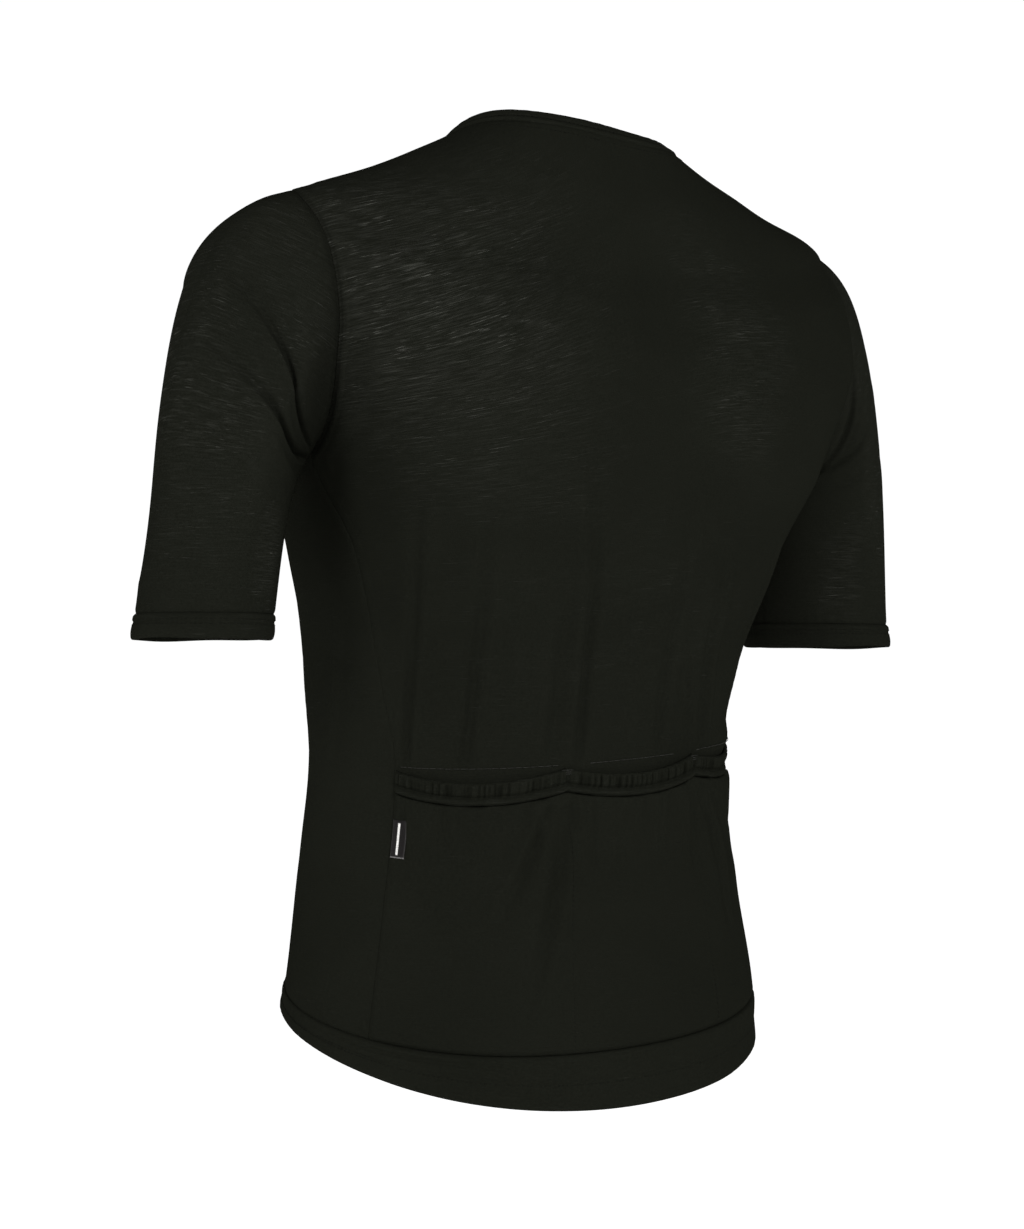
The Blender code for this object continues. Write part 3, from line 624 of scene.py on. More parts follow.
# ---------------------------------------------------------------- the body
def ring(u, row):
    """A point of a ring at the angle u: a rounded ellipse in plan, its height going from
    the back's to the side's and the front's in smooth waves."""
    s, c = sin_cos(u)
    s3, c3 = sin_cos(3.0 * u)
    q = row["square"]
    across = (s + q * s3) / (1.0 - q)
    deep = (c - q * c3) / (1.0 - q)
    depth = np.where(c > 0.0, row["back_depth"], row["front_depth"])
    even = (row["z_back"] + row["z_front"]) / 2.0 - row["z_side"]
    odd = (row["z_back"] - row["z_front"]) / 2.0
    z = row["z_side"] + even * c * c + odd * c - row["tilt"] * s
    return np.stack(
        [row["half_width"] * across, row["centre_y"] + depth * deep, z], axis=-1
    )


def body_base(u, v):
    """The body's smooth outer surface without folds: the ring of each v."""
    u, v = same_shape(u, v)
    return ring(u, {name: station(name, v) for name in STATION_COLUMNS[2:11]})


def body(u, v):
    """The body's outer surface with its folds."""
    u, v = same_shape(u, v)
    lift = folds(signed(u), v, BODY_FOLDS, BODY_SCALE)
    normal = -surface_normal(body_base, u, v, 0.5, 0.002)
    return body_base(u, v) + normal * lift[..., None]


def body_normal(u, v):
    """The unit normals of the body with its folds."""
    return -surface_normal(body, u, v, 0.6, 0.003)


def armhole_uv(turn):
    """The armhole in u and v on the wearer's left: turn is 0 on the shoulder, 90 behind,
    180 in the armpit and 270 before."""
    s, c = sin_cos(turn)
    cut = np.where(s > 0.0, ARMHOLE_BACK, ARMHOLE_FRONT)
    down = np.abs(signed(np.asarray(turn, float))) / 180.0
    share = (1.0 + c) / 2.0
    share = share + (1.0 - down - share) * ARMPIT_POINT * down**2
    return 90.0 - cut * s * (1.0 + ARMHOLE_HIGH * c), ARMPIT_V + (SHOULDER_V - ARMPIT_V) * share


# ---------------------------------------------------------------- the sleeves
def cuff_ring(side, turn, z, grow):
    """A ring of the cuff: an oval at height z, grown by grow."""
    s, c = sin_cos(turn - CUFF_TURN)
    turned_s, turned_c = sin_cos(CUFF_TURN)
    along = (CUFF_LONG + grow) * c
    across = (CUFF_SHORT + grow) * s
    lean = ARM_OUT * (CUFF_SEAM_Z - z)
    x = CUFF_X + lean + along * turned_c - across * turned_s
    y = CUFF_Y + along * turned_s + across * turned_c
    return np.stack([side * x, y, np.broadcast_to(z, x.shape)], axis=-1)


def sleeve_table(column, turn):
    """One column of the sleeve's rows at a turn, in smooth steps round the armhole."""
    k = SLEEVE_COLUMNS.index(column)
    values = np.array([row[k] for row in SLEEVE_ROWS], float)
    place = (np.asarray(turn, float) % 360.0) / 90.0
    low = np.floor(place).astype(int) % 4
    t = (1.0 - np.cos(np.pi * (place - np.floor(place)))) / 2.0
    return values[low] * (1.0 - t) + values[(low + 1) % 4] * t


def sleeve_base(side, turn, s):
    """The sleeve's outer surface: curves from the armhole (s = 0) to the cuff's seam
    (s = 1), pulled out of the armhole and along the arm at their ends."""
    turn, s = same_shape(turn, s)
    u, v = armhole_uv(turn)
    out, back, down, start_pull, end_pull = (
        sleeve_table(column, turn) for column in SLEEVE_COLUMNS[1:]
    )
    lean = unit(np.stack([side * out, back, -down], axis=-1))
    arm = unit(np.array([side * ARM_OUT, -0.04, -1.0]))
    start, start_slope, end, end_slope = cubic(s[..., None])
    return (
        start * body(side * u, v) + start_slope * (lean * start_pull[..., None])
        + end * cuff_ring(side, turn, CUFF_SEAM_Z, 0.0) + end_slope * (arm * end_pull[..., None])
    )


def sleeve(side, turn, s):
    """The sleeve's outer surface with its folds."""
    turn, s = same_shape(turn, s)
    table = LEFT_SLEEVE_FOLDS if side > 0 else RIGHT_SLEEVE_FOLDS
    lift = folds(turn % 360.0, s, table, SLEEVE_SCALE)
    normal = -side * surface_normal(lambda a, b: sleeve_base(side, a, b), turn, s, 2.0, 0.004)
    return sleeve_base(side, turn, s) + normal * lift[..., None]


def sleeve_normal(side, turn, s):
    """The unit normals of the sleeve with its folds."""
    return -side * surface_normal(lambda a, b: sleeve(side, a, b), turn, s, 2.0, 0.006)


def armhole_seam(side, turn):
    """At the armhole's seam: the point, the shared wall direction with its length for a
    mitred edge, and the direction across the seam from the body to the sleeve."""
    turn = np.asarray(turn, float)
    u, v = armhole_uv(turn)
    point, of_body = body(side * u, v), body_normal(side * u, v)
    shared = unit(of_body + sleeve_normal(side, turn, 0.0 * turn))
    mitre = 1.0 / np.clip((shared * of_body).sum(-1), 0.55, 1.0)
    ahead_u, ahead_v = armhole_uv(turn + 1.0)
    behind_u, behind_v = armhole_uv(turn - 1.0)
    seam = body(side * ahead_u, ahead_v) - body(side * behind_u, behind_v)
    across = unit(np.cross(seam, shared))
    toward = sleeve(side, turn, 0.08) - point
    across = across * np.sign((across * toward).sum(-1))[..., None]
    return point, shared * mitre[..., None], across


# ---------------------------------------------------------------- fine relief of the cloth
def cloth_waves(points):
    """The slow unevenness of the cloth at points: a sum of sine waves through space."""
    return sum(
        height * wave((points / (x_length, y_length, z_length)).sum(-1), phase)
        for x_length, y_length, z_length, phase, height in CLOTH_WAVES
    )


def nearest_on_line(points, line):
    """How far each point is from a line through many points, and how far along the line its
    nearest place is: the nearest of the line's points first, then the nearer of the two
    pieces that meet there."""
    flat = points.reshape(-1, 3)
    steps = lengths(line)
    run = running(steps)
    square = (flat**2).sum(1)[:, None] + (line**2).sum(1)[None, :] - 2.0 * flat @ line.T
    k = square.argmin(axis=1)
    best = np.full(len(flat), np.inf)
    where = np.zeros(len(flat))
    for low in (np.clip(k - 1, 0, len(line) - 2), np.clip(k, 0, len(line) - 2)):
        a = line[low]
        ab = line[low + 1] - a
        t = np.clip(((flat - a) * ab).sum(1) / (ab**2).sum(1), 0.0, 1.0)
        far = np.linalg.norm(flat - a - ab * t[:, None], axis=1)
        where = np.where(far < best, run[low] + t * steps[low], where)
        best = np.minimum(best, far)
    return best.reshape(points.shape[:-1]), where.reshape(points.shape[:-1])


def seam_relief(points, line, groove, allowance=0.0, reach=SEAM_REACH):
    """The height beside a seam: a groove as a bell across it, the seam allowance as a low
    step from the groove to the allowance's edge, and small uneven puckers along it. With it
    comes how far each point is from the seam."""
    far, run = nearest_on_line(points, line)
    cut = -groove * bell(far / reach)
    step = allowance * ease(far / reach - 0.4) * (1.0 - ease((far - ALLOWANCE_WIDTH) / 1.5))
    pucker = wave(run / PUCKER_LENGTH, 1.1 * wave(run / (PUCKER_LENGTH * PUCKER_SHIFT_LENGTHS)))
    uneven = 0.55 + 0.45 * wave(run / (PUCKER_LENGTH * PUCKER_SWELL_LENGTHS), 0.7)
    near = bell(far / PUCKER_REACH) * ease(far / 2.5)
    return cut + step + PUCKER_HEIGHT * pucker * uneven * near, far


def armhole_line(side):
    """The armhole's seam as a closed string of points."""
    u, v = armhole_uv(np.linspace(0.0, 360.0, 361))
    return body(side * u, v)


def side_line(side):
    """The side seam from the hem's seam to the armpit."""
    v = np.linspace(HEM_SEAM_V, ARMPIT_V, 220)
    return body(side * station("seam_u", v), v)


def shoulder_line(side):
    """The shoulder's seam from the armhole to the neckline."""
    return body(side * 90.0, np.linspace(SHOULDER_V, 1.0, 90))


def round_line(v):
    """A seam right round the body at one v."""
    return body(np.linspace(-180.0, 180.0, 541), v)


def pocket_line_relief(u, v):
    """The thin raised line that the pockets' mouths leave on the back: a narrow bell across
    the line in stretches that end in soft steps."""
    across = bell((v - POCKET_LINE_V) * BODY_LENGTH / POCKET_LINE_WIDTH)
    ends = sum(ease((left - u) / 1.5) * ease((u - right) / 1.5) for left, right in POCKET_LINES)
    return ends * POCKET_LINE_HEIGHT * across


def body_cloth(u, v):
    """The body's cloth at u, v with its normals: the smooth form with folds, raised along its
    normals by creases and unevenness that die out at the armholes, and by its seams."""
    u, v = same_shape(u, v)
    point, normal = body(u, v), body_normal(u, v)
    groove, allowance = size("groove"), size("allowance")
    lift = creases(signed(u), v, BODY_CREASES, BODY_SCALE) + cloth_waves(point)
    seams = pocket_line_relief(signed(u), v)
    for side in (1, -1):
        relief, far = seam_relief(
            point, armhole_line(side), groove * ARMHOLE_GROOVE, allowance, ARMHOLE_REACH
        )
        lift = lift * (1.0 - bell(far / BODY_CALM))
        seams = seams + relief
        for line in (side_line(side), shoulder_line(side)):
            seams = seams + seam_relief(
                point, line, groove * SOFT_SEAM_GROOVE, allowance * SOFT_SEAM_ALLOWANCE
            )[0]
    for level in (HEM_SEAM_V, 1.0):
        seams = seams + seam_relief(point, round_line(level), groove)[0]
    return point + normal * (lift + seams)[..., None], normal


def sleeve_cloth(side, turn, s):
    """A sleeve's cloth and its normals, as the body's, with a seam underneath."""
    table = LEFT_SLEEVE_CREASES if side > 0 else RIGHT_SLEEVE_CREASES
    point, normal = sleeve(side, turn, s), sleeve_normal(side, turn, s)
    groove = size("groove")
    lift = creases(turn % 360.0, s, table, SLEEVE_SCALE) + cloth_waves(point)
    relief, far = seam_relief(
        point, armhole_line(side), groove * ARMHOLE_GROOVE, 0.0, ARMHOLE_REACH
    )
    lift = lift * (1.0 - bell(far / SLEEVE_CALM)) + relief
    under = sleeve(side, 180.0, np.linspace(0.02, 1.0, 120))
    hem = cuff_ring(side, np.linspace(0.0, 360.0, 361), CUFF_SEAM_Z, 0.0)
    for line, share, allowance in ((under, 0.6, 0.15), (hem, 1.0, 0.0)):
        lift = lift + seam_relief(point, line, groove * share, allowance)[0]
    return point + normal * lift[..., None], normal


# ---------------------------------------------------------------- patterns on the cloth
def slub_share(x, y, table):
    """How strongly the yarn's slubs show at x, y: soft bells round each patch's middle."""
    total = np.zeros(np.broadcast(x, y).shape)
    for x0, y0, x_reach, y_reach, share in table:
        near = np.exp(-(((x - x0) / x_reach) ** 2) ** 1.5 - (((y - y0) / y_reach) ** 2) ** 1.5)
        total = np.maximum(total, share * near)
    return total


def closed(points, axis):
    """A grid of points with its first row or column again at the end."""
    return np.concatenate([points, points.take([0], axis=axis)], axis=axis)


def body_pattern(points, middle, shift):
    """The knit's own coordinates in metres: along a course the length round the body from
    the middle column, and up it the height, raised toward the wearer's left shoulder. Where
    the cloth leans in over the shoulders, the length up it takes the height's place."""
    along = running(lengths(points, 1), 1)
    along = along - along[:, middle : middle + 1]
    x, z = points[..., 0], points[..., 2]
    rise = np.diff(z, axis=0)
    lean = ease((z[1:] - LEAN_NONE_Z) / (LEAN_FULL_Z - LEAN_NONE_Z))
    up = z[:1] + running(rise + (lengths(points) - rise) * lean)
    high = ease((z - DROOP_NONE_Z) / (DROOP_FULL_Z - DROOP_NONE_Z))
    past = x - DROOP_MIDDLE_X
    to_left = (np.sqrt(past * past + DROOP_SOFT_X**2) + past) / 2.0
    return np.stack([along * MM + shift, (up + DROOP * high * to_left) * MM], axis=-1)


def sleeve_pattern(points, side, shift):
    """The same for a sleeve, whose courses lie across the arm and slant over its cap."""
    points = closed(points, 1)
    along = running(lengths(points, 1), 1)
    z = points[..., 2]
    high = ease((z - CAP_NONE_Z) / (CAP_FULL_Z - CAP_NONE_Z))
    out = side * points[..., 0] - SLEEVE_MIDDLE_X
    return np.stack([along * MM + shift, (z - CAP_DROOP * high * out) * MM], axis=-1)


def grid_pattern(points, shift):
    """Lengths along the rows and up the columns of a closed band's grid of points."""
    points = closed(closed(points, 1), 0)
    along = running(lengths(points, 1).mean(axis=0))
    up = running(lengths(points).mean(axis=1))
    return np.stack(np.meshgrid(along * MM + shift, up * MM), axis=-1)


# ---------------------------------------------------------------- meshes
def grid_quads(rows, columns, wrap_rows=False, wrap_columns=False):
    """The quads of a grid of points, and for each corner its place in a grid that has one
    more row and column where it wraps."""
    cells = rows - 1 + wrap_rows, columns - 1 + wrap_columns
    i, j = np.meshgrid(*map(np.arange, cells), indexing="ij")
    corners = ((i, j), (i, j + 1), (i + 1, j + 1), (i + 1, j))
    quads = [(a % rows) * columns + b % columns for a, b in corners]
    places = [a * (columns + wrap_columns) + b for a, b in corners]
    return tuple(np.stack(each, axis=-1).reshape(-1, 4) for each in (quads, places))


def new_piece(name, points, quads, corner_uv, slub, finish_name):
    """A smooth-shaded mesh object from arrays of points, quads, the knit's coordinates at
    each corner and the slubs' share at each point, which below zero is painted shade. Its
    faces are turned to point out."""
    points = np.asarray(points, float).reshape(-1, 3) * MM
    a, b, c, d = (points[quads[:, k]] for k in range(4))
    volume = (np.cross(a, b) * c).sum() + (np.cross(a, c) * d).sum()
    if volume < 0.0:
        quads = quads[:, ::-1]
        corner_uv = corner_uv[:, ::-1]
    mesh = bpy.data.meshes.new(name)
    mesh.vertices.add(len(points))
    mesh.vertices.foreach_set("co", points.astype(np.float32).ravel())
    mesh.loops.add(quads.size)
    mesh.loops.foreach_set("vertex_index", np.ascontiguousarray(quads, np.int32).ravel())
    mesh.polygons.add(len(quads))
    mesh.polygons.foreach_set("loop_start", np.arange(0, quads.size, 4, dtype=np.int32))
    mesh.update(calc_edges=True)
    layer = mesh.uv_layers.new(name="knit")
    layer.data.foreach_set("uv", np.ascontiguousarray(corner_uv, np.float32).ravel())
    shares = mesh.attributes.new("slub", "FLOAT", "POINT")
    shares.data.foreach_set("value", np.asarray(slub, np.float32).ravel())
    if mesh.validate():
        raise RuntimeError(f"{name}: the mesh had to be mended")
    mesh.shade_smooth()
    mesh.materials.append(finish(finish_name))
    return placed(name, mesh)


def placed(name, data):
    """A new object of the scene with that mesh, light or camera."""
    made = bpy.data.objects.new(name, data)
    bpy.context.scene.collection.objects.link(made)
    return made


def wall_piece(name, outer, inner, pattern, slub, finish_name="slub_knit", wrap=False):
    """A thin closed shell between an outer and an inner grid of points, with its rims. The
    inner wall has the outer one's pattern."""
    rows, columns = outer.shape[:2]
    count = rows * columns
    quads, places = grid_quads(rows, columns, False, wrap)
    uv = pattern.reshape(-1, 2)
    faces = [quads, quads[:, ::-1] + count]
    corners = [uv[places], uv[places[:, ::-1]]]
    wide = columns + wrap
    rims = [(np.arange(wide), False), ((rows - 1) * wide + np.arange(wide), True)]
    if not wrap:
        rims.append((np.arange(rows) * columns, True))
        rims.append((np.arange(rows) * columns + columns - 1, False))
    for place, turned in rims:
        number = (place // wide) * columns + (place % wide) % columns
        low, high = number[:-1], number[1:]
        side = np.stack([low, low + count, high + count, high], axis=-1)
        at = np.stack([place[:-1], place[:-1], place[1:], place[1:]], axis=-1)
        faces.append(side[:, ::-1] if turned else side)
        corners.append(uv[at[:, ::-1]] if turned else uv[at])
    points = np.concatenate([outer.reshape(-1, 3), inner.reshape(-1, 3)])
    shares = np.concatenate([slub.ravel(), slub.ravel()])
    return new_piece(
        name, points, np.concatenate(faces), np.concatenate(corners), shares, finish_name
    )


def band_piece(name, points, shift, slub):
    """A closed folded band from the points of its profile's rows, joined both ways."""
    quads, places = grid_quads(*points.shape[:2], True, True)
    uv = grid_pattern(points, shift).reshape(-1, 2)
    return new_piece(name, points, quads, uv[places], np.full(points.shape[:2], slub), "band_knit")


def band_profile(table, lip, steps):
    """The rows of a folded band's profile: t down the outside, up again inside and round the
    allowance that reaches up behind the seam, with how far each lies out from the cloth's
    face. Smooth curves run through the table's rows."""
    t = spread(steps, *BAND_SPREAD)
    place, out, inside = np.array(table, float).T
    lip_t, lip_in = np.array(lip[::-1], float).T
    out = smooth_column(t, place, out), -smooth_column(t, place, inside)[::-1], -lip_in
    return np.concatenate([t, t[::-1], lip_t]), np.concatenate(out)


def profile_out(table, t):
    """How far out the outside of a band's profile lies at t, less what a thread sinks in."""
    return smooth_column(t, [row[0] for row in table], [row[1] for row in table]) - THREAD_SUNK


def stitch_piece(name, lines, length, gap, finish_name):
    """Rows of single stitches as one mesh. Each is a six-sided tube in four rings, along a
    shallow arch between two places on a line, its ends sunk into the cloth. A line is its
    points and the cloth's normals there."""
    starts, ends, ups = [], [], []
    for points, normals in lines:
        run = running(lengths(points))
        count = max(int(run[-1] // (length + gap)), 1)
        at = np.arange(count) * (run[-1] / count)
        for found, place, values in (
            (starts, at, points), (ends, at + length, points), (ups, at + length / 2.0, normals)
        ):
            found.append(np.stack([np.interp(place, run, values[:, k]) for k in range(3)], -1))
    start, end, up = (np.concatenate(found) for found in (starts, ends, ups))
    up = unit(up)
    across = unit(np.cross(end - start, up))
    ring_t = np.array([0.0, 0.2, 0.8, 1.0])
    height = np.array([-0.7, 0.5, 0.5, -0.7]) * size("thread")
    girth = np.array([0.6, 1.0, 1.0, 0.6]) * size("thread")
    s, c = sin_cos(np.arange(6) * 60.0)
    middle = start[:, None] + (end - start)[:, None] * ring_t[None, :, None]
    middle = middle + up[:, None] * height[None, :, None]
    round_it = (
        across[:, None, None] * c[None, None, :, None] + up[:, None, None] * s[None, None, :, None]
    )
    points = middle[:, :, None] + round_it * girth[None, :, None, None]
    count = len(start)
    caps = np.array([[3, 2, 1, 0], [5, 4, 3, 0], [18, 19, 20, 21], [18, 21, 22, 23]])
    one = np.concatenate([grid_quads(4, 6, False, True)[0], caps])
    faces = (one[None] + np.arange(count)[:, None, None] * 24).reshape(-1, 4)
    corner_uv = np.zeros((len(faces), 4, 2))
    return new_piece(name, points, faces, corner_uv, np.zeros(count * 24), finish_name)


# ---------------------------------------------------------------- finishes
def tone(colour, share=1.0):
    """A colour for a socket: all of it, or a share."""
    return tuple(part * share for part in colour[:3]) + (1.0,)


class Nodes:
    """The nodes of a material or a world, with functions that add one and join it."""

    def __init__(self, owner):
        owner.use_nodes = True
        self.tree = owner.node_tree

    def put(self, socket, value):
        """Links an output to a socket, or sets the socket's own value."""
        if isinstance(value, bpy.types.NodeSocket):
            self.tree.links.new(value, socket)
        else:
            socket.default_value = value

    def add(self, kind, **values):
        """A node with its plain settings and the values of its sockets."""
        made = self.tree.nodes.new("ShaderNode" + kind)
        for name, value in values.items():
            if hasattr(made, name) and name not in made.inputs:
                setattr(made, name, value)
            else:
                self.put(made.inputs[name.replace("_", " ")], value)
        return made

    def maths(self, operation, *values):
        """The result of a sum on sockets or numbers."""
        made = self.add("Math", operation=operation)
        for socket, value in zip(made.inputs, values):
            self.put(socket, value)
        return made.outputs[0]

    def times(self, first, *others):
        """The product of sockets and numbers."""
        for other in others:
            first = self.maths("MULTIPLY", first, other)
        return first

    def plus(self, first, *others):
        """The sum of sockets and numbers."""
        for other in others:
            first = self.maths("ADD", first, other)
        return first

    def mixed(self, share, first, second):
        """A colour between two by a share."""
        made = self.add("Mix", data_type="RGBA")
        for number, value in ((0, share), (6, first), (7, second)):
            self.put(made.inputs[number], value)
        return made.outputs[2]

    def between(self, share, first, last):
        """A value that goes from first to last with a share."""
        return self.add("MapRange", Value=share, To_Min=first, To_Max=last).outputs["Result"]

    def step(self, value, low, high, first=0.0, last=1.0):
        """A smooth step from first, where a value is low, to last, where it is high."""
        made = self.add(
            "MapRange", interpolation_type="SMOOTHSTEP", Value=value, From_Min=low,
            From_Max=high, To_Min=first, To_Max=last,
        )
        return made.outputs["Result"]

    def noise(self, source, scale, detail, low, high):
        """Noise on coordinates stretched by scale, turned into a share that is 0 up to low and
        1 from high on."""
        place = self.add("Mapping", Vector=source, Scale=scale).outputs["Vector"]
        made = self.add("TexNoise", Vector=place, Scale=1.0, Detail=detail, Roughness=0.55)
        return self.step(made.outputs["Fac"], low, high)

    def surface(self, **values):
        """Sets the surface's sockets."""
        for name, value in values.items():
            self.put(self.tree.nodes["Principled BSDF"].inputs[name.replace("_", " ")], value)

    def bump(self, height, depth, strength):
        """The normals of a bumpy surface."""
        made = self.add("Bump", Height=height, Distance=depth, Strength=strength)
        return made.outputs["Normal"]


def cloth_finish(nodes, colour, slub_colour, slub_strength, course, knit_depth):
    """A matte slub jersey knit. Long thin streaks of thicker yarn lie along the courses in
    clusters, paler and slightly raised, strongest where the slub attribute says. Where that
    is below zero, shade is painted in: the colour is darkened toward a quarter of itself, as
    painted shade in the gaps between ruffles. Between the streaks the yarn varies finely,
    and rows of small loops give the bump."""
    uv = nodes.add("UVMap", uv_map="knit").outputs["UV"]
    # the slub attribute: above zero the slubs' share, below zero painted shade
    where = nodes.add("Attribute", attribute_name="slub").outputs["Fac"]
    haze, streaks, bright, clusters, knots, fine, broad = (
        nodes.noise(uv, (x, y, 1.0), *rest) for x, y, *rest in KNIT_NOISE
    )
    raised = nodes.plus(
        nodes.times(haze, 0.12), nodes.times(streaks, clusters, 0.32),
        nodes.times(bright, knots, 1.15),
    )
    share = nodes.times(raised, slub_strength, nodes.plus(nodes.times(where, 0.97), 0.03))
    uneven = nodes.plus(nodes.times(fine, 0.75), nodes.times(broad, 0.25))
    base = nodes.mixed(uneven, tone(colour, 0.80), tone(colour, 1.22))
    # painted shade: below zero the attribute darkens the colour, as in the shaded gaps between
    # ruffles
    painted_gap_shade = nodes.between(nodes.times(where, -1.0), 0.0, 1.0)
    base = nodes.mixed(painted_gap_shade, base, tone(colour, 0.25))
    wales = nodes.add("Mapping", Vector=uv, Scale=(1.0 / course, 0.8 / course, 1.0))
    loops = nodes.add(
        "TexNoise", Vector=wales.outputs["Vector"], Scale=1.0, Detail=1.0, Roughness=0.4
    )
    height = nodes.plus(nodes.times(loops.outputs["Fac"], 0.6), raised)
    nodes.surface(
        Base_Color=nodes.mixed(share, base, tone(slub_colour)),
        Roughness=nodes.between(fine, 0.86, 1.0), Specular_IOR_Level=0.0,
        Normal=nodes.bump(height, knit_depth, 0.8),
    )


def thread_finish(nodes, colour):
    """A sewing thread: its colour varies a little along it, and its surface is finely rough."""
    place = nodes.add("TexCoord").outputs["Object"]
    vary = nodes.noise(place, (900.0, 900.0, 900.0), 2.0, 0.3, 0.7)
    nodes.surface(
        Base_Color=nodes.mixed(vary, tone(colour, 0.6), tone(colour)),
        Roughness=nodes.between(vary, 0.6, 0.85), Specular_IOR_Level=0.0,
        Normal=nodes.bump(vary, 0.00005, 0.6),
    )


def label_finish(nodes, colour, edge_colour):
    """A woven label: fine warp and weft, a plain pale stripe down its middle that stops short
    of both ends, duller lines inside its long edges and a pale line at its foot. The label's
    own coordinates run from 0 to 1 across and up."""
    uv = nodes.add("UVMap", uv_map="knit").outputs["UV"]
    split = nodes.add("SeparateXYZ", Vector=uv).outputs
    across, up = (
        nodes.maths("ABSOLUTE", nodes.maths("SUBTRACT", split[axis], 0.5)) for axis in "XY"
    )
    weave = nodes.noise(uv, (34.0, 90.0, 1.0), 1.0, 0.3, 0.7)
    worn = nodes.noise(uv, (9.0, 40.0, 1.0), 2.0, 0.25, 0.60)
    stripe = nodes.times(
        nodes.step(across, 0.05, 0.085, 1.0, 0.0), nodes.step(up, 0.40, 0.43, 1.0, 0.0)
    )
    edges = nodes.times(nodes.step(across, 0.41, 0.45), 0.03)
    foot = nodes.times(nodes.step(split["Y"], 0.02, 0.045, 1.0, 0.0), 0.16)
    line = nodes.times(
        nodes.plus(stripe, nodes.plus(edges, foot)), nodes.plus(nodes.times(worn, 0.6), 0.4)
    )
    base = nodes.mixed(weave, tone(colour, 0.6), tone(colour))
    nodes.surface(
        Base_Color=nodes.mixed(line, base, tone(edge_colour)),
        Roughness=nodes.between(weave, 0.6, 0.8), Specular_IOR_Level=0.06,
        Normal=nodes.bump(weave, 0.00008, 0.8),
    )


def floor_finish(nodes, colour):
    """A pale matte studio floor with very faint unevenness."""
    place = nodes.add("TexCoord").outputs["Object"]
    vary = nodes.noise(place, (1.5, 1.5, 1.5), 3.0, 0.2, 0.8)
    nodes.surface(
        Base_Color=nodes.mixed(vary, tone(colour, 0.985), tone(colour)), Roughness=1.0,
        Specular_IOR_Level=0.0, Emission_Color=tone((1.0, 1.0, 1.0)),
        Emission_Strength=FLOOR_GLOW,
    )


FINISHES = {  # how each is made, its colours, and a knit's slubs, course and depth
    "slub_knit": (cloth_finish, ("knit", "slub"), (1.0, 0.0009, 0.00022)),
    "band_knit": (cloth_finish, ("band", "slub"), (0.5, 0.0008, 0.00018)),
    "sewing_thread": (thread_finish, ("thread",), ()),
    "pale_thread": (thread_finish, ("pale_thread",), ()),
    "woven_label": (label_finish, ("label", "label_edge"), ()),
    "studio_floor": (floor_finish, ("floor",), ()),
}


def finish(name):
    """The finish of that name, made once from the scene's colours."""
    found = bpy.data.materials.get(name)
    if not found:
        found = bpy.data.materials.new(name)
        make, colours, numbers = FINISHES[name]
        chosen = bpy.context.scene.jersey_colours
        make(Nodes(found), *(getattr(chosen, colour) for colour in colours), *numbers)
    return found


# ---------------------------------------------------------------- the pieces
def panel_places(front):
    """The u and v of a body panel's grid, from the hem's seam to the neckline. In the rows
    beside an armhole the outermost columns run along its edge: a fifth power of the place
    across takes up the difference."""
    gap = EDGE_GAP / 2.0
    share = FRONT_SHARE if front else 1.0
    low_v = HEM_SEAM_V + gap / BODY_LENGTH
    lower = spread(round(LOWER_ROWS * share), *HEM_END_SPREAD)[:-1]
    lower = low_v + (ARMPIT_V - low_v) * lower
    turns = np.linspace(180.0, 0.0, round(ARMHOLE_ROWS * share) + 1)
    upper = spread(round(YOKE_ROWS * share), *NECK_END_SPREAD)[1:]
    upper = SHOULDER_V + (1.0 - gap / BODY_LENGTH - SHOULDER_V) * upper
    at = 360.0 - turns if front else turns
    cut_u, cut_v = armhole_uv(at)
    v = np.concatenate([lower, cut_v, upper])
    edge = np.concatenate([station("seam_u", lower), cut_u, np.full(len(upper), 90.0)])
    trim = np.degrees(gap / station("half_width", v))
    s = 1.0 - 2.0 * spread(FRONT_COLUMNS if front else BODY_COLUMNS, *ACROSS_SPREAD)
    lines, reach = station("back_lines", v), edge - trim
    if front:
        s, lines, reach = -s, 180.0 - station("front_lines", v), 180.0 - edge - trim
    u = lines[:, None] * s + (reach - lines)[:, None] * s**5 + (180.0 if front else 0.0)
    rows = slice(len(lower), len(lower) + len(turns))
    return u, np.broadcast_to(v[:, None], u.shape), rows, at


def panel_piece(name, front):
    """The back or the front as a thin shell. At the armholes its edge lies half a gap from
    the seam, and its rim there leans as the sleeve's does."""
    u, v, rows, at = panel_places(front)
    outer, offset = body_cloth(u, v)
    for column, side in ((0, 1), (-1, -1)):
        point, shared, across = armhole_seam(side, at)
        outer[rows, column] = (
            point - across * (EDGE_GAP / 2.0) - shared * (ARMHOLE_GROOVE * size("groove"))
        )
        offset[rows, column] = shared
    slub = slub_share(signed(u), v, SLUB_PATCHES)
    pattern = body_pattern(outer, outer.shape[1] // 2, shift=2.3 if front else 0.0)
    return wall_piece(name, outer, outer - offset * size("wall"), pattern, slub)


def sleeve_shell(name, side):
    """A sleeve as a thin shell from the armhole's seam to the cuff's, its underarm seam at
    the pattern's own seam."""
    turns = 180.0 + np.arange(SLEEVE_COLUMNS_COUNT) * (360.0 / SLEEVE_COLUMNS_COUNT)
    end = 1.0 - EDGE_GAP / 2.0 / SLEEVE_LENGTH
    s = spread(SLEEVE_ROWS_COUNT, *SLEEVE_SPREAD) ** 0.95 * end
    turn_grid, s_grid = np.meshgrid(turns, s)
    outer, offset = sleeve_cloth(side, turn_grid, s_grid)
    point, shared, across = armhole_seam(side, turns)
    outer[0] = point + across * (EDGE_GAP / 2.0) - shared * (ARMHOLE_GROOVE * size("groove"))
    offset[0] = shared
    slub = slub_share(turn_grid % 360.0, s_grid, SLEEVE_SLUB_PATCHES)
    pattern = sleeve_pattern(outer, side, shift=4.1 + 0.9 * side)
    return wall_piece(name, outer, outer - offset * size("wall"), pattern, slub, wrap=True)


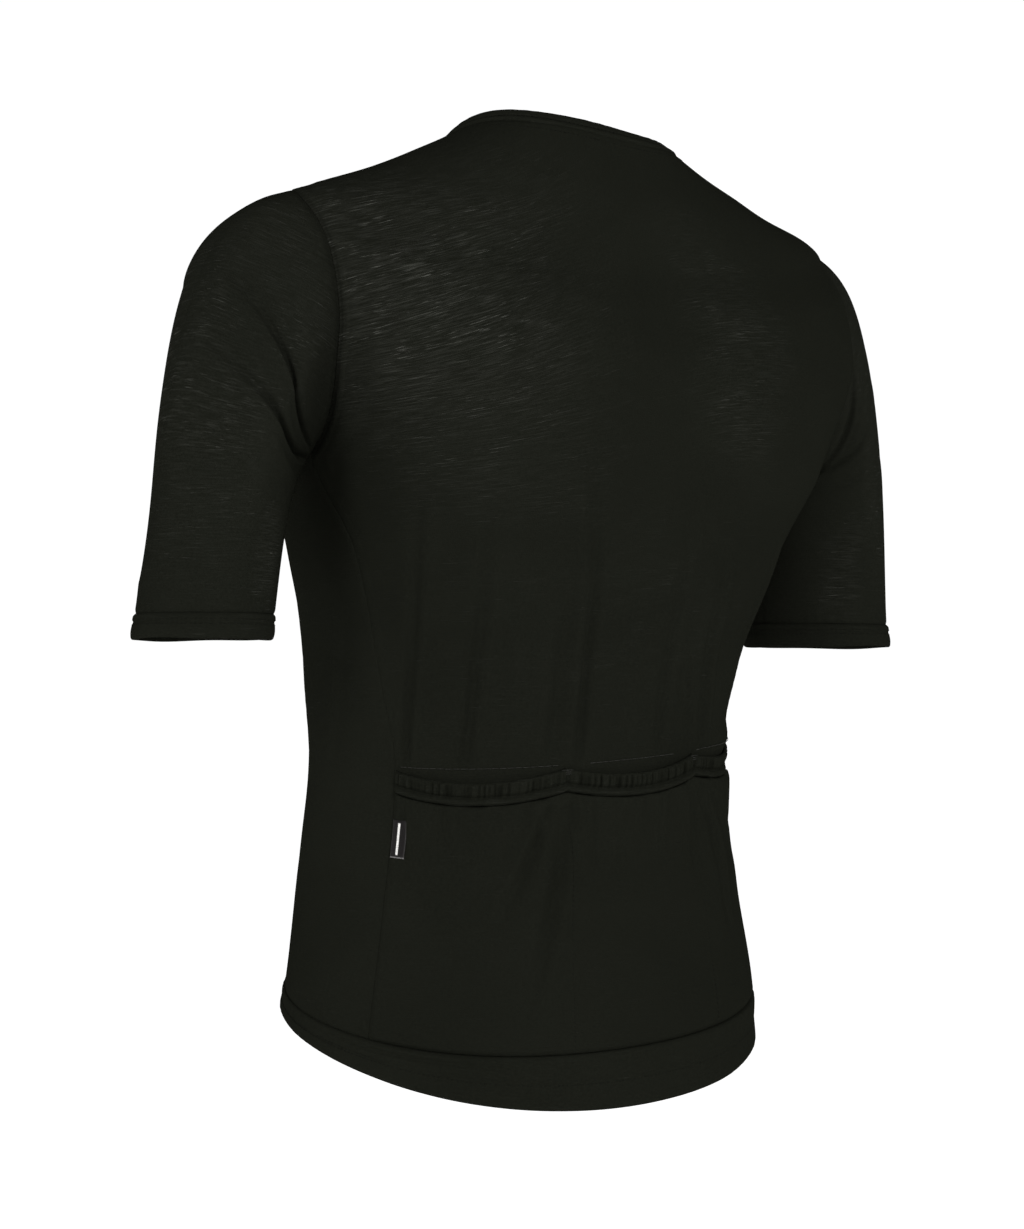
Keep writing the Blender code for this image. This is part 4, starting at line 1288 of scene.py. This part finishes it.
def band_lift(run, t, out, stitch_t, length, relief=0.0):
    """How far out a band's grid lies: its profile, the dents of its stitched line, which are
    a narrow groove, deeper at each stitch, faint ruffles toward the edges, and other relief.
    On the band's inside all but the profile is weaker."""
    line = bell((t - stitch_t) * length)
    dents = 0.30 + 0.10 * wave(run / STITCH_PITCH, np.pi / 2.0)
    slow = wave(run / SLOW_PITCH)
    ruffle = wave(run / RUFFLE_PITCH, 1.4 * slow)
    dents = -dents * line + 0.10 * ruffle * (0.6 + 0.4 * slow)
    return out + np.where(out > -0.45, 1.0, INNER_RELIEF) * (dents + relief)


def cuff_sway(side, turn, t):
    """Slow ups and downs of a cuff's free edge, none at its seam."""
    lift = (sin_cos(2.0 * turn + 50.0 * side)[0] * 0.5 + sin_cos(5.0 * turn)[0] * 0.25) * ease(t)
    return lift[..., None] * (0.0, 0.0, 1.0)


def cuff_band(name, side):
    """The doubled cuff: the oval ring grown by the profile, with stitched dents."""
    turns = np.arange(CUFF_COLUMNS_COUNT) * (360.0 / CUFF_COLUMNS_COUNT)
    t, out = (rows[:, None] for rows in band_profile(CUFF_PROFILE, CUFF_LIP, CUFF_ROWS_COUNT))
    top = CUFF_SEAM_Z - EDGE_GAP / 2.0
    run = turns / 360.0 * np.pi * (CUFF_LONG + CUFF_SHORT)
    grow = band_lift(run, t, out, CUFF_STITCH_T, CUFF_SEAM_Z - CUFF_EDGE_Z)
    turn_grid, z_grid = np.broadcast_arrays(turns, top + (CUFF_EDGE_Z - top) * t)
    points = cuff_ring(side, turn_grid, z_grid, grow) + cuff_sway(side, turn_grid, t)
    return band_piece(name, points, shift=7.0 + side, slub=0.12)


def hem_surface(u, t, out):
    """Points of the hem band: the body's cloth from the hem's seam down, moved out."""
    u, v = same_shape(u, (HEM_SEAM_V - EDGE_GAP / 2.0 / BODY_LENGTH) * (1.0 - t))
    point, normal = body(u, v), body_normal(u, v)
    lift = creases(signed(u), v, BODY_CREASES, BODY_SCALE) + cloth_waves(point) + out
    return point + normal * lift[..., None], normal


def hem_band():
    """The doubled hem: its profile carried round the body's lower edge, with stitched dents,
    near its seam the seam's puckers, and behind, below the pockets, a bulge and two folds."""
    u = -180.0 + np.arange(BAND_COLUMNS_COUNT) * (360.0 / BAND_COLUMNS_COUNT)
    t, out = (rows[:, None] for rows in band_profile(HEM_PROFILE, HEM_LIP, HEM_ROWS_COUNT))
    run = u * MM_PER_DEGREE_BODY
    depth = HEM_SEAM_V * BODY_LENGTH
    down = t * depth
    pucker = wave(run / PUCKER_LENGTH, wave(run / HEM_SLOW_PITCH)) * bell(down / HEM_PUCKER_REACH)
    over_pocket = ease((HEM_BACK_U - np.abs(u)) / HEM_BULGE_END_U) * bell(t / HEM_BULGE_T)
    doubled = sum(height * bell((down - middle) / wide) for middle, wide, height in HEM_FOLDS)
    relief = (
        PUCKER_HEIGHT * pucker + over_pocket + bell((u - HEM_FOLD_U) / HEM_FOLD_REACH_U) * doubled
    )
    lift = band_lift(run, t, out, HEM_STITCH_T, depth, relief)
    return band_piece("hem_band_cloth", hem_surface(u, t, lift)[0], shift=11.0, slub=0.05)


def neck_frame(angles):
    """The neckband's lower and upper rings and its outward normals."""
    low = body(angles, 1.0)
    high = ring(angles, NECK_TOP)
    rise = unit(high - low)
    low = low + rise * (EDGE_GAP / 2.0)
    around = unit(np.roll(low, -1, axis=0) - np.roll(low, 1, axis=0))
    normal = unit(np.cross(rise, around))
    outward = (normal * (low - low.mean(axis=0))).sum(-1)
    return low, high, normal * np.sign(outward)[..., None]


def neck_sway(angles, t):
    """The soft curl of the neckband's free edge, none at its seam."""
    sway = 0.5 * sin_cos(3.0 * angles + 20.0)[0] + 0.3 * sin_cos(7.0 * angles)[0]
    return (sway - 0.4) * ease(t) * 0.8


def neck_band():
    """The doubled neckband, leaning in a little, with stitched dents and a soft curl."""
    angles = np.arange(NECK_COLUMNS_COUNT) * (360.0 / NECK_COLUMNS_COUNT)
    low, high, normal = neck_frame(angles)
    t, out = (rows[:, None] for rows in band_profile(NECK_PROFILE, NECK_LIP, NECK_ROWS_COUNT))
    lift = band_lift(angles / 360.0 * NECK_GIRTH, t, out, NECK_STITCH_T, NECK_DEPTH)
    lift = lift + neck_sway(angles, t)
    base = low * (1.0 - t[..., None]) + high * t[..., None]
    points = base + normal * lift[..., None]
    return band_piece("neckband_cloth", points, shift=13.0, slub=0.15)


def pocket_mouth(u):
    """How far the pockets' front edge hangs below the line on the back, and stands out."""
    drop = np.full(np.shape(u), POCKET_SEWN_DROP)
    stand = np.zeros(np.shape(u))
    for left, right, sag, opening in POCKETS:
        bow = np.sin(np.pi * np.clip((left - u) / (left - right), 0.0, 1.0)) ** 0.8
        drop = drop + (sag - POCKET_SEWN_DROP) * bow
        stand = stand + opening * bow
    return drop, stand


def pocket_layer(across, below, out):
    """Points on the pocket layer: across runs from 1 at the wearer's left side seam to -1 at
    the right one, below is the depth under the mouth's edge, and out is from the layer's
    inside. The layer stands off most at the mouth, and at its sides and foot it thins out
    and settles into the seams."""
    drop, stand = pocket_mouth(across * station("seam_u", POCKET_LINE_V))
    v = np.maximum(POCKET_LINE_V - (drop + below) / BODY_LENGTH, HEM_SEAM_V + 0.0002)
    reach = station("seam_u", v) - np.degrees(EDGE_GAP / 2.0 / station("half_width", v))
    lines = station("back_lines", v)
    u = lines * across + (reach - lines) * across**5
    point, normal = body_cloth(u, v)
    settle = np.exp(-((np.maximum(below, 0.0) / POCKET_SETTLE) ** 1.5))
    to_side = (1.0 - np.abs(across)) * reach * MM_PER_DEGREE_BODY
    to_foot = (v - HEM_SEAM_V) * BODY_LENGTH
    held = ease((to_side + 0.8) / POCKET_HELD) * ease((to_foot + 0.8) / POCKET_HELD)
    lift = 0.03 + (LAYER_GAP + stand * settle) * held + out * (0.12 + 0.88 * held)
    return point + normal * lift[..., None], u, v, normal


def divider_relief(u):
    """The stitched lines between the pockets: a narrow groove down each line."""
    offs = [(u - divider) * MM_PER_DEGREE_BODY for divider in DIVIDERS]
    return sum(
        DIVIDER_BULGE * bell(off / DIVIDER_BULGE_WIDTH) - DIVIDER_DEPTH * bell(off / DIVIDER_WIDTH)
        for off in offs
    )


def hang_relief(u, under):
    """Short folds that hang from the casing's foot, each a ridge with a lower one beside it.
    Their places, lengths and depths are uneven: sine waves of their number give them."""
    total = np.zeros(np.broadcast(u, under).shape)
    for number in range(HANG_COUNT):
        centre = HANG_FIRST_U - HANG_STEP_U * number + HANG_UNEVEN_U * math.sin(2.9 * number)
        length = HANG_LENGTH * (0.35 + 0.65 * (0.5 + 0.5 * math.sin(1.7 * number + 0.6)))
        height = HANG_HEIGHT * (0.20 + 0.80 * (0.5 + 0.5 * math.sin(4.1 * number)))
        off = (u - centre) * MM_PER_DEGREE_BODY + 0.10 * math.sin(2.3 * number) * under
        beside = bell((off - 2.6 * HANG_WIDTH) / HANG_WIDTH)
        fade = bell(np.maximum(under, 0.0) / length)
        total = total + fade * height * (bell(off / HANG_WIDTH) + 0.6 * beside)
    return total


def pocket_sheet():
    """The pockets' panel from under the ridge to the hem's seam."""
    across = 1.0 - 2.0 * spread(POCKET_COLUMNS_COUNT, *ACROSS_SPREAD)
    drop, _ = pocket_mouth(across * station("seam_u", POCKET_LINE_V))
    first = CASING_DEPTH + EDGE_GAP
    last = (POCKET_LINE_V - HEM_SEAM_V) * BODY_LENGTH - drop - EDGE_GAP
    below = first + (last - first) * spread(POCKET_ROWS_COUNT, *POCKET_SPREAD)[:, None]
    across, below = np.broadcast_arrays(across, below)
    outer, u, v, normal = pocket_layer(across, below, size("wall"))
    under = below - CASING_DEPTH
    relief = divider_relief(u) + hang_relief(u, under) * ease(under)
    outer = outer + normal * relief[..., None]
    inner = pocket_layer(across, below, 0.0)[0]
    slub = slub_share(u, v, SLUB_PATCHES)[::-1]
    pattern = body_pattern(outer[::-1], POCKET_COLUMNS_COUNT // 2, shift=9.0)
    return wall_piece("pocket_panel_cloth", outer[::-1], inner[::-1], pattern, slub)


def gather_waves(t):
    """Uneven small ruffles along the casing, from 0 to 1 high, t from 0 to 1 across: wide
    ones with narrow gaps and fine ones on top, by powers of cosines."""
    fine, wide = (
        0.5 + 0.5 * np.cos(2 * np.pi * (count * t + sum(k * wave(often * t) for often, k in drift)))
        for count, drift in ((GATHERS, GATHER_DRIFT), (WIDE_GATHERS, WIDE_DRIFT))
    )
    tall = 0.66 + 0.2 * wave(11.7 * t, 0.8) + 0.14 * wave(29.3 * t)
    return tall * (0.34 * fine**0.55 + 0.66 * wide**0.3)


def casing_strip():
    """The gathered elastic casing along the mouths: its profile carried across the pockets,
    ruffled by the gathers, with a rolled ridge along its foot. At the dividers it is drawn
    in between two small humps."""
    columns = GATHERS * CASING_STEPS + 1
    across = np.linspace(1.0, -1.0, columns)
    place = np.linspace(0.0, 1.0, columns)
    depths, outs, shares = np.array(CASING_PROFILE, float).T
    below = (spread(CASING_ROWS_COUNT, *CASING_SPREAD) * CASING_DEPTH)[:, None]
    out = smooth_column(below, depths, outs)
    share = smooth_column(below, depths, shares)
    waves = gather_waves(place)
    drift = gather_waves(place + GATHER_SHIFT) - waves
    u_line = across * station("seam_u", POCKET_LINE_V)
    offs = [(u_line - divider) * MM_PER_DEGREE_BODY for divider in DIVIDERS]
    pinch = sum(
        HUMP_HEIGHT * bell((np.abs(off) - HUMP_OFF) / HUMP_WIDTH)
        - PINCH_DEPTH * bell(off / PINCH_WIDTH)
        for off in offs
    )
    lean = below / CASING_DEPTH
    ruffle = waves * (1.0 - lean) + (waves + drift) * lean
    raised = size("wall") + out + (size("gather") * ruffle + pinch) * share
    level = below + 0.45 * (waves - 0.5) * (1.0 - lean)
    across, level = np.broadcast_arrays(across, level)
    outer = pocket_layer(across, level, np.maximum(raised, 0.25))[0]
    inner = pocket_layer(across, level, 0.0)[0]
    pattern = body_pattern(outer[::-1], columns // 2, shift=15.0)
    # Painted shade: the slub attribute goes below zero in the gaps between the ruffles and along
    # the channel over the ridge, where the finish darkens the colour as shade would.
    gap = np.clip(1.1 - 2.0 * waves, 0.0, 1.0) * share**2
    ridge_channel_shade = bell((below - SHADED_CHANNEL_DEPTH) / SHADED_CHANNEL_WIDTH)
    slub = 0.12 - 0.75 * np.clip(gap + 0.45 * ridge_channel_shade, 0.0, 1.0)
    return wall_piece("pocket_casing_cloth", outer[::-1], inner[::-1], pattern, slub[::-1])


def label_patch():
    """A small plain label sewn flat beside the side seam: its long edges curl up a little."""
    edge = float(station("seam_u", POCKET_LINE_V))
    t = np.linspace(0.0, 1.0, LABEL_POINTS[0])
    down = np.linspace(1.0, 0.0, LABEL_POINTS[1])[:, None]
    across = 1.0 - (LABEL_FROM_SEAM + t * LABEL_WIDTH) / (MM_PER_DEGREE_BODY * edge)
    below = LABEL_TOP_BELOW_LINE + LABEL_HEIGHT * down - pocket_mouth(across * edge)[0]
    across, below = np.broadcast_arrays(across, below)
    side, end = 2.0 * t - 1.0, 2.0 * down - 1.0
    base = size("wall") + LAYER_GAP + LABEL_SIDE_CURL * side**4 + LABEL_END_CURL * end**4
    rim = 1.0 - 0.55 * np.maximum(np.abs(side), np.abs(end)) ** 12
    outer = pocket_layer(across, below, base + LABEL_WALL * rim)[0]
    inner = pocket_layer(across, below, base)[0]
    pattern = np.stack(np.broadcast_arrays(t, 1.0 - down), axis=-1)
    plain = np.zeros(outer.shape[:2])
    return wall_piece("side_label_patch", outer, inner, pattern, plain, "woven_label")


# ---------------------------------------------------------------- the rows of stitches
def hem_stitches():
    """Two parallel rows of stitches round the hem."""
    u = np.linspace(-180.0, 180.0, LONG_LINE_POINTS)
    step = size("row_gap") / 2.0 / (HEM_SEAM_V * BODY_LENGTH)
    rows = (HEM_STITCH_T - step, HEM_STITCH_T + step)
    return [hem_surface(u, t, profile_out(HEM_PROFILE, t)) for t in rows]


def cuff_stitches():
    """Two parallel rows of stitches round each cuff."""
    turns = np.linspace(0.0, 360.0, LINE_POINTS)
    depth = CUFF_SEAM_Z - CUFF_EDGE_Z
    lines = []
    for side in (1, -1):
        for off in (-0.5, 0.5):
            t = CUFF_STITCH_T + off * size("row_gap") / depth
            z = CUFF_SEAM_Z - depth * t
            out = profile_out(CUFF_PROFILE, t)
            points = cuff_ring(side, turns, z, out)
            normals = cuff_ring(side, turns, z, out + 1.0) - points
            lines.append((points + cuff_sway(side, turns, t), normals))
    return lines


def neck_stitches():
    """One row of stitches round the neckband, and one on the cloth below it."""
    angles = np.linspace(0.0, 360.0, LINE_POINTS)
    low, high, normal = (closed(values, 0) for values in neck_frame(angles[:-1]))
    t = NECK_STITCH_T
    lift = profile_out(NECK_PROFILE, t) + neck_sway(angles, t)
    band = low * (1.0 - t) + high * t + normal * lift[..., None]
    u = np.linspace(-180.0, 180.0, LINE_POINTS)
    below = body_cloth(u, 1.0 - NECK_ROW_BELOW / BODY_LENGTH)
    return [(band, normal), below]


def pocket_line_stitches():
    """The stitches along the pocket line on the back."""
    return [
        body_cloth(np.linspace(left - 1.0, right + 1.0, SHORT_LINE_POINTS), POCKET_LINE_V)
        for left, right in POCKET_LINES
    ]


def pocket_stitches():
    """Stitches down the dividers."""
    foot = (POCKET_LINE_V - HEM_SEAM_V) * BODY_LENGTH - 6.0
    below = np.linspace(CASING_DEPTH + 1.0, foot, 160)
    v = POCKET_LINE_V - (POCKET_SEWN_DROP + below) / BODY_LENGTH
    wall = size("wall")
    return [
        pocket_layer(divider / station("seam_u", v), below, wall - DIVIDER_THREAD_SUNK)[::3]
        for divider in DIVIDERS
    ]


def bar_tacks():
    """Short rows across the ends of the mouths, one above the other."""
    edge = float(station("seam_u", POCKET_LINE_V))
    over = size("wall") + size("gather") * 0.3
    reach = np.linspace(TACK_HALF_U, -TACK_HALF_U, 14)
    return [
        pocket_layer((divider + reach) / edge, TACK_TOP + row * TACK_STEP, over)[::3]
        for divider in DIVIDERS for row in range(TACK_ROWS)
    ]


# ---------------------------------------------------------------- putting the pieces in
def dress(piece, node_name):
    """Puts a piece in the place of its CAD node, on the part's one body."""
    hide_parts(node_name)
    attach(piece, "root")


def length_of(name, description, default, low, high):
    """A length that a user may change."""
    return FloatProperty(
        name=name, description=description, default=default, min=low, max=high,
        unit="LENGTH", subtype="DISTANCE",
    )


def colour_of(name, description, *colour):
    """A colour that a user may change."""
    return FloatVectorProperty(
        name=name, description=description, default=colour, size=3, subtype="COLOR",
        min=0.0, max=1.0,
    )


class JerseySizes(bpy.types.PropertyGroup):
    """Sizes of the cloth and its sewing."""

    wall: length_of("Cloth thickness", "Thickness of one layer of knit", 0.0012, 0.0008, 0.002)
    groove: length_of("Seam groove", "How far a sewn edge turns in", 0.0005, 0.0, 0.002)
    allowance: length_of(
        "Seam allowance", "How far the allowance lifts the cloth beside a seam",
        0.00045, 0.0, 0.0015,
    )
    gather: length_of(
        "Ruffle height", "Height of the ruffles in the elastic casing", 0.0037, 0.0, 0.0045
    )
    stitch: length_of("Stitch length", "Length of one stitch", 0.0023, 0.001, 0.005)
    stitch_gap: length_of("Stitch gap", "Gap between two stitches", 0.0007, 0.0002, 0.003)
    row_gap: length_of("Row gap", "Distance between two rows of stitches", 0.003, 0.001, 0.008)
    thread: length_of("Thread radius", "Radius of the sewing thread", 0.0002, 0.0001, 0.0005)


class JerseyColours(bpy.types.PropertyGroup):
    """Colours of the cloth, the sewing and the stage."""

    knit: colour_of("Knit", "Colour of the knit", 0.0043, 0.0046, 0.0034)
    slub: colour_of("Slubs", "Colour of the yarn's thick places", 0.045, 0.046, 0.040)
    band: colour_of("Bands", "Colour of the hem, cuffs and neckband", 0.0043, 0.0046, 0.0034)
    thread: colour_of("Thread", "Colour of the sewing thread", 0.0050, 0.0052, 0.0042)
    pale_thread: colour_of(
        "Pocket line", "Colour of the thread of the pocket line", 0.021, 0.021, 0.019
    )
    label: colour_of("Label", "Colour of the side label", 0.0048, 0.0042, 0.0042)
    label_edge: colour_of("Label lines", "Colour of the label's woven lines", 0.42, 0.41, 0.40)
    floor: colour_of("Floor", "Colour of the studio floor", 0.92, 0.92, 0.92)


class JERSEY_OT_body(bpy.types.Operator):
    """Build the back and the front as thin knit shells"""

    bl_idname = "jersey.body"
    bl_label = "Back and Front"

    def execute(self, context):
        for node_name, front in (("back_panel", False), ("front_panel", True)):
            dress(panel_piece(node_name + "_cloth", front), node_name)
        return {"FINISHED"}


class JERSEY_OT_sleeves(bpy.types.Operator):
    """Build both sleeves as thin knit shells"""

    bl_idname = "jersey.sleeves"
    bl_label = "Sleeves"

    def execute(self, context):
        for node_name, side in (("sleeve_left", 1), ("sleeve_right", -1)):
            dress(sleeve_shell(node_name + "_cloth", side), node_name)
        return {"FINISHED"}


class JERSEY_OT_bands(bpy.types.Operator):
    """Build the doubled bands of the cuffs, the neck and the hem"""

    bl_idname = "jersey.bands"
    bl_label = "Cuffs, Neckband and Hem"

    def execute(self, context):
        for node_name, side in (("cuff_left", 1), ("cuff_right", -1)):
            dress(cuff_band(node_name + "_cloth", side), node_name)
        dress(neck_band(), "neckband")
        dress(hem_band(), "hem_band")
        return {"FINISHED"}


class JERSEY_OT_pockets(bpy.types.Operator):
    """Build the pockets' panel, their gathered casing and the plain side label"""

    bl_idname = "jersey.pockets"
    bl_label = "Pockets and Label"

    def execute(self, context):
        dress(pocket_sheet(), "pocket_panel")
        dress(casing_strip(), "pocket_casing")
        dress(label_patch(), "side_label")
        return {"FINISHED"}


class JERSEY_OT_stitches(bpy.types.Operator):
    """Build the rows of stitches as raised threads"""

    bl_idname = "jersey.stitches"
    bl_label = "Stitches"

    def execute(self, context):
        length, gap = size("stitch"), size("stitch_gap")
        groups = (
            ("hem_stitches", hem_stitches, "band", "sewing_thread", length, gap),
            ("cuff_stitches", cuff_stitches, "band", "sewing_thread", length, gap),
            ("neck_stitches", neck_stitches, "band", "sewing_thread", length, gap),
            ("pocket_stitches", pocket_stitches, "knit", "sewing_thread", length, gap),
            (
                "pocket_line_stitches", pocket_line_stitches, "knit", "pale_thread",
                2.0 * length, 0.3 * gap,
            ),
            ("pocket_bar_tacks", bar_tacks, "knit", "pale_thread", TACK_STITCH, 0.3 * gap),
        )
        for name, lines, slot, finish_name, length, gap in groups:
            made = stitch_piece(name, lines(), length, gap, finish_name)
            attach(made, "root")
        return {"FINISHED"}


def view_direction(azimuth, elevation):
    """The direction from the object toward an eye at that azimuth and elevation."""
    a, e = math.radians(azimuth), math.radians(elevation)
    return Vector((math.sin(a) * math.cos(e), -math.cos(a) * math.cos(e), math.sin(e)))


class JERSEY_OT_stage(bpy.types.Operator):
    """Build the pale floor, the soft lights and the camera"""

    bl_idname = "jersey.stage"
    bl_label = "Stage"

    def execute(self, context):
        scene = context.scene
        scene.world = bpy.data.worlds.new("studio_world")
        nodes = Nodes(scene.world)
        background = nodes.tree.nodes["Background"].inputs
        split = nodes.add("SeparateXYZ", Vector=nodes.add("TexCoord").outputs["Generated"])
        nodes.put(background["Color"], tone((1.0, 1.0, 1.0)))
        nodes.put(background["Strength"], nodes.step(split.outputs["Z"], *WORLD_SHADE))
        mesh = bpy.data.meshes.new("studio_floor")
        s, c = sin_cos(np.arange(FLOOR_SIDES) * (360.0 / FLOOR_SIDES))
        rim = np.stack([FLOOR_RADIUS * c, FLOOR_RADIUS * s, np.full(FLOOR_SIDES, FLOOR_Z)], -1)
        mesh.from_pydata(rim.tolist(), [], [list(range(FLOOR_SIDES))])
        mesh.materials.append(finish("studio_floor"))
        placed("studio_floor", mesh)
        for name, azimuth, elevation, far, width, power in LIGHTS:
            data = bpy.data.lights.new(name, "AREA")
            data.shape = "DISK"
            data.size = width
            data.energy = power
            light = placed(name, data)
            toward = view_direction(azimuth, elevation)
            light.location = Vector(LIGHT_CENTRE) + toward * far
            light.rotation_euler = toward.to_track_quat("Z", "Y").to_euler()
            light.visible_camera = False
        data = bpy.data.cameras.new("studio_camera")
        data.sensor_fit = "AUTO"
        data.sensor_width = CAMERA_SENSOR
        data.lens = CAMERA_LENS
        camera = placed("studio_camera", data)
        toward = view_direction(CAMERA_AZIMUTH, 0.0)
        aside = Vector((toward.y, -toward.x, 0.0))
        camera.location = toward * CAMERA_FAR + aside * CAMERA_ASIDE + Vector((0, 0, CAMERA_Z))
        looking = -toward * math.cos(math.radians(CAMERA_PITCH))
        looking.z = math.sin(math.radians(CAMERA_PITCH))
        camera.rotation_euler = looking.to_track_quat("-Z", "Y").to_euler()
        scene.camera = camera
        scene.view_settings.view_transform = "Standard"
        scene.view_settings.look = "None"
        scene.view_settings.exposure = 0.0
        scene.view_settings.gamma = 1.0
        return {"FINISHED"}


class JERSEY_PT_panel(bpy.types.Panel):
    """The jersey's sizes, colours and steps"""

    bl_idname = "JERSEY_PT_panel"
    bl_label = "Cycling Jersey"
    bl_space_type = "VIEW_3D"
    bl_region_type = "UI"
    bl_category = "Jersey"

    def draw(self, context):
        for group in (context.scene.jersey_sizes, context.scene.jersey_colours):
            box = self.layout.box()
            for name in group.bl_rna.properties.keys():
                if name not in {"rna_type", "name"}:
                    box.prop(group, name)
        for step in STEPS:
            self.layout.operator(step.bl_idname)


STEPS = (
    JERSEY_OT_body,
    JERSEY_OT_sleeves,
    JERSEY_OT_bands,
    JERSEY_OT_pockets,
    JERSEY_OT_stitches,
    JERSEY_OT_stage,
)
CLASSES = (JerseySizes, JerseyColours, *STEPS, JERSEY_PT_panel)


def register():
    for each in CLASSES:
        bpy.utils.register_class(each)
    bpy.types.Scene.jersey_sizes = PointerProperty(type=JerseySizes)
    bpy.types.Scene.jersey_colours = PointerProperty(type=JerseyColours)


def unregister():
    del bpy.types.Scene.jersey_colours
    del bpy.types.Scene.jersey_sizes
    for each in reversed(CLASSES):
        bpy.utils.unregister_class(each)


def main():
    register()
    bpy.ops.jersey.body()
    bpy.ops.jersey.sleeves()
    bpy.ops.jersey.bands()
    bpy.ops.jersey.pockets()
    bpy.ops.jersey.stitches()
    bpy.ops.jersey.stage()


if __name__ == "__main__":
    main()
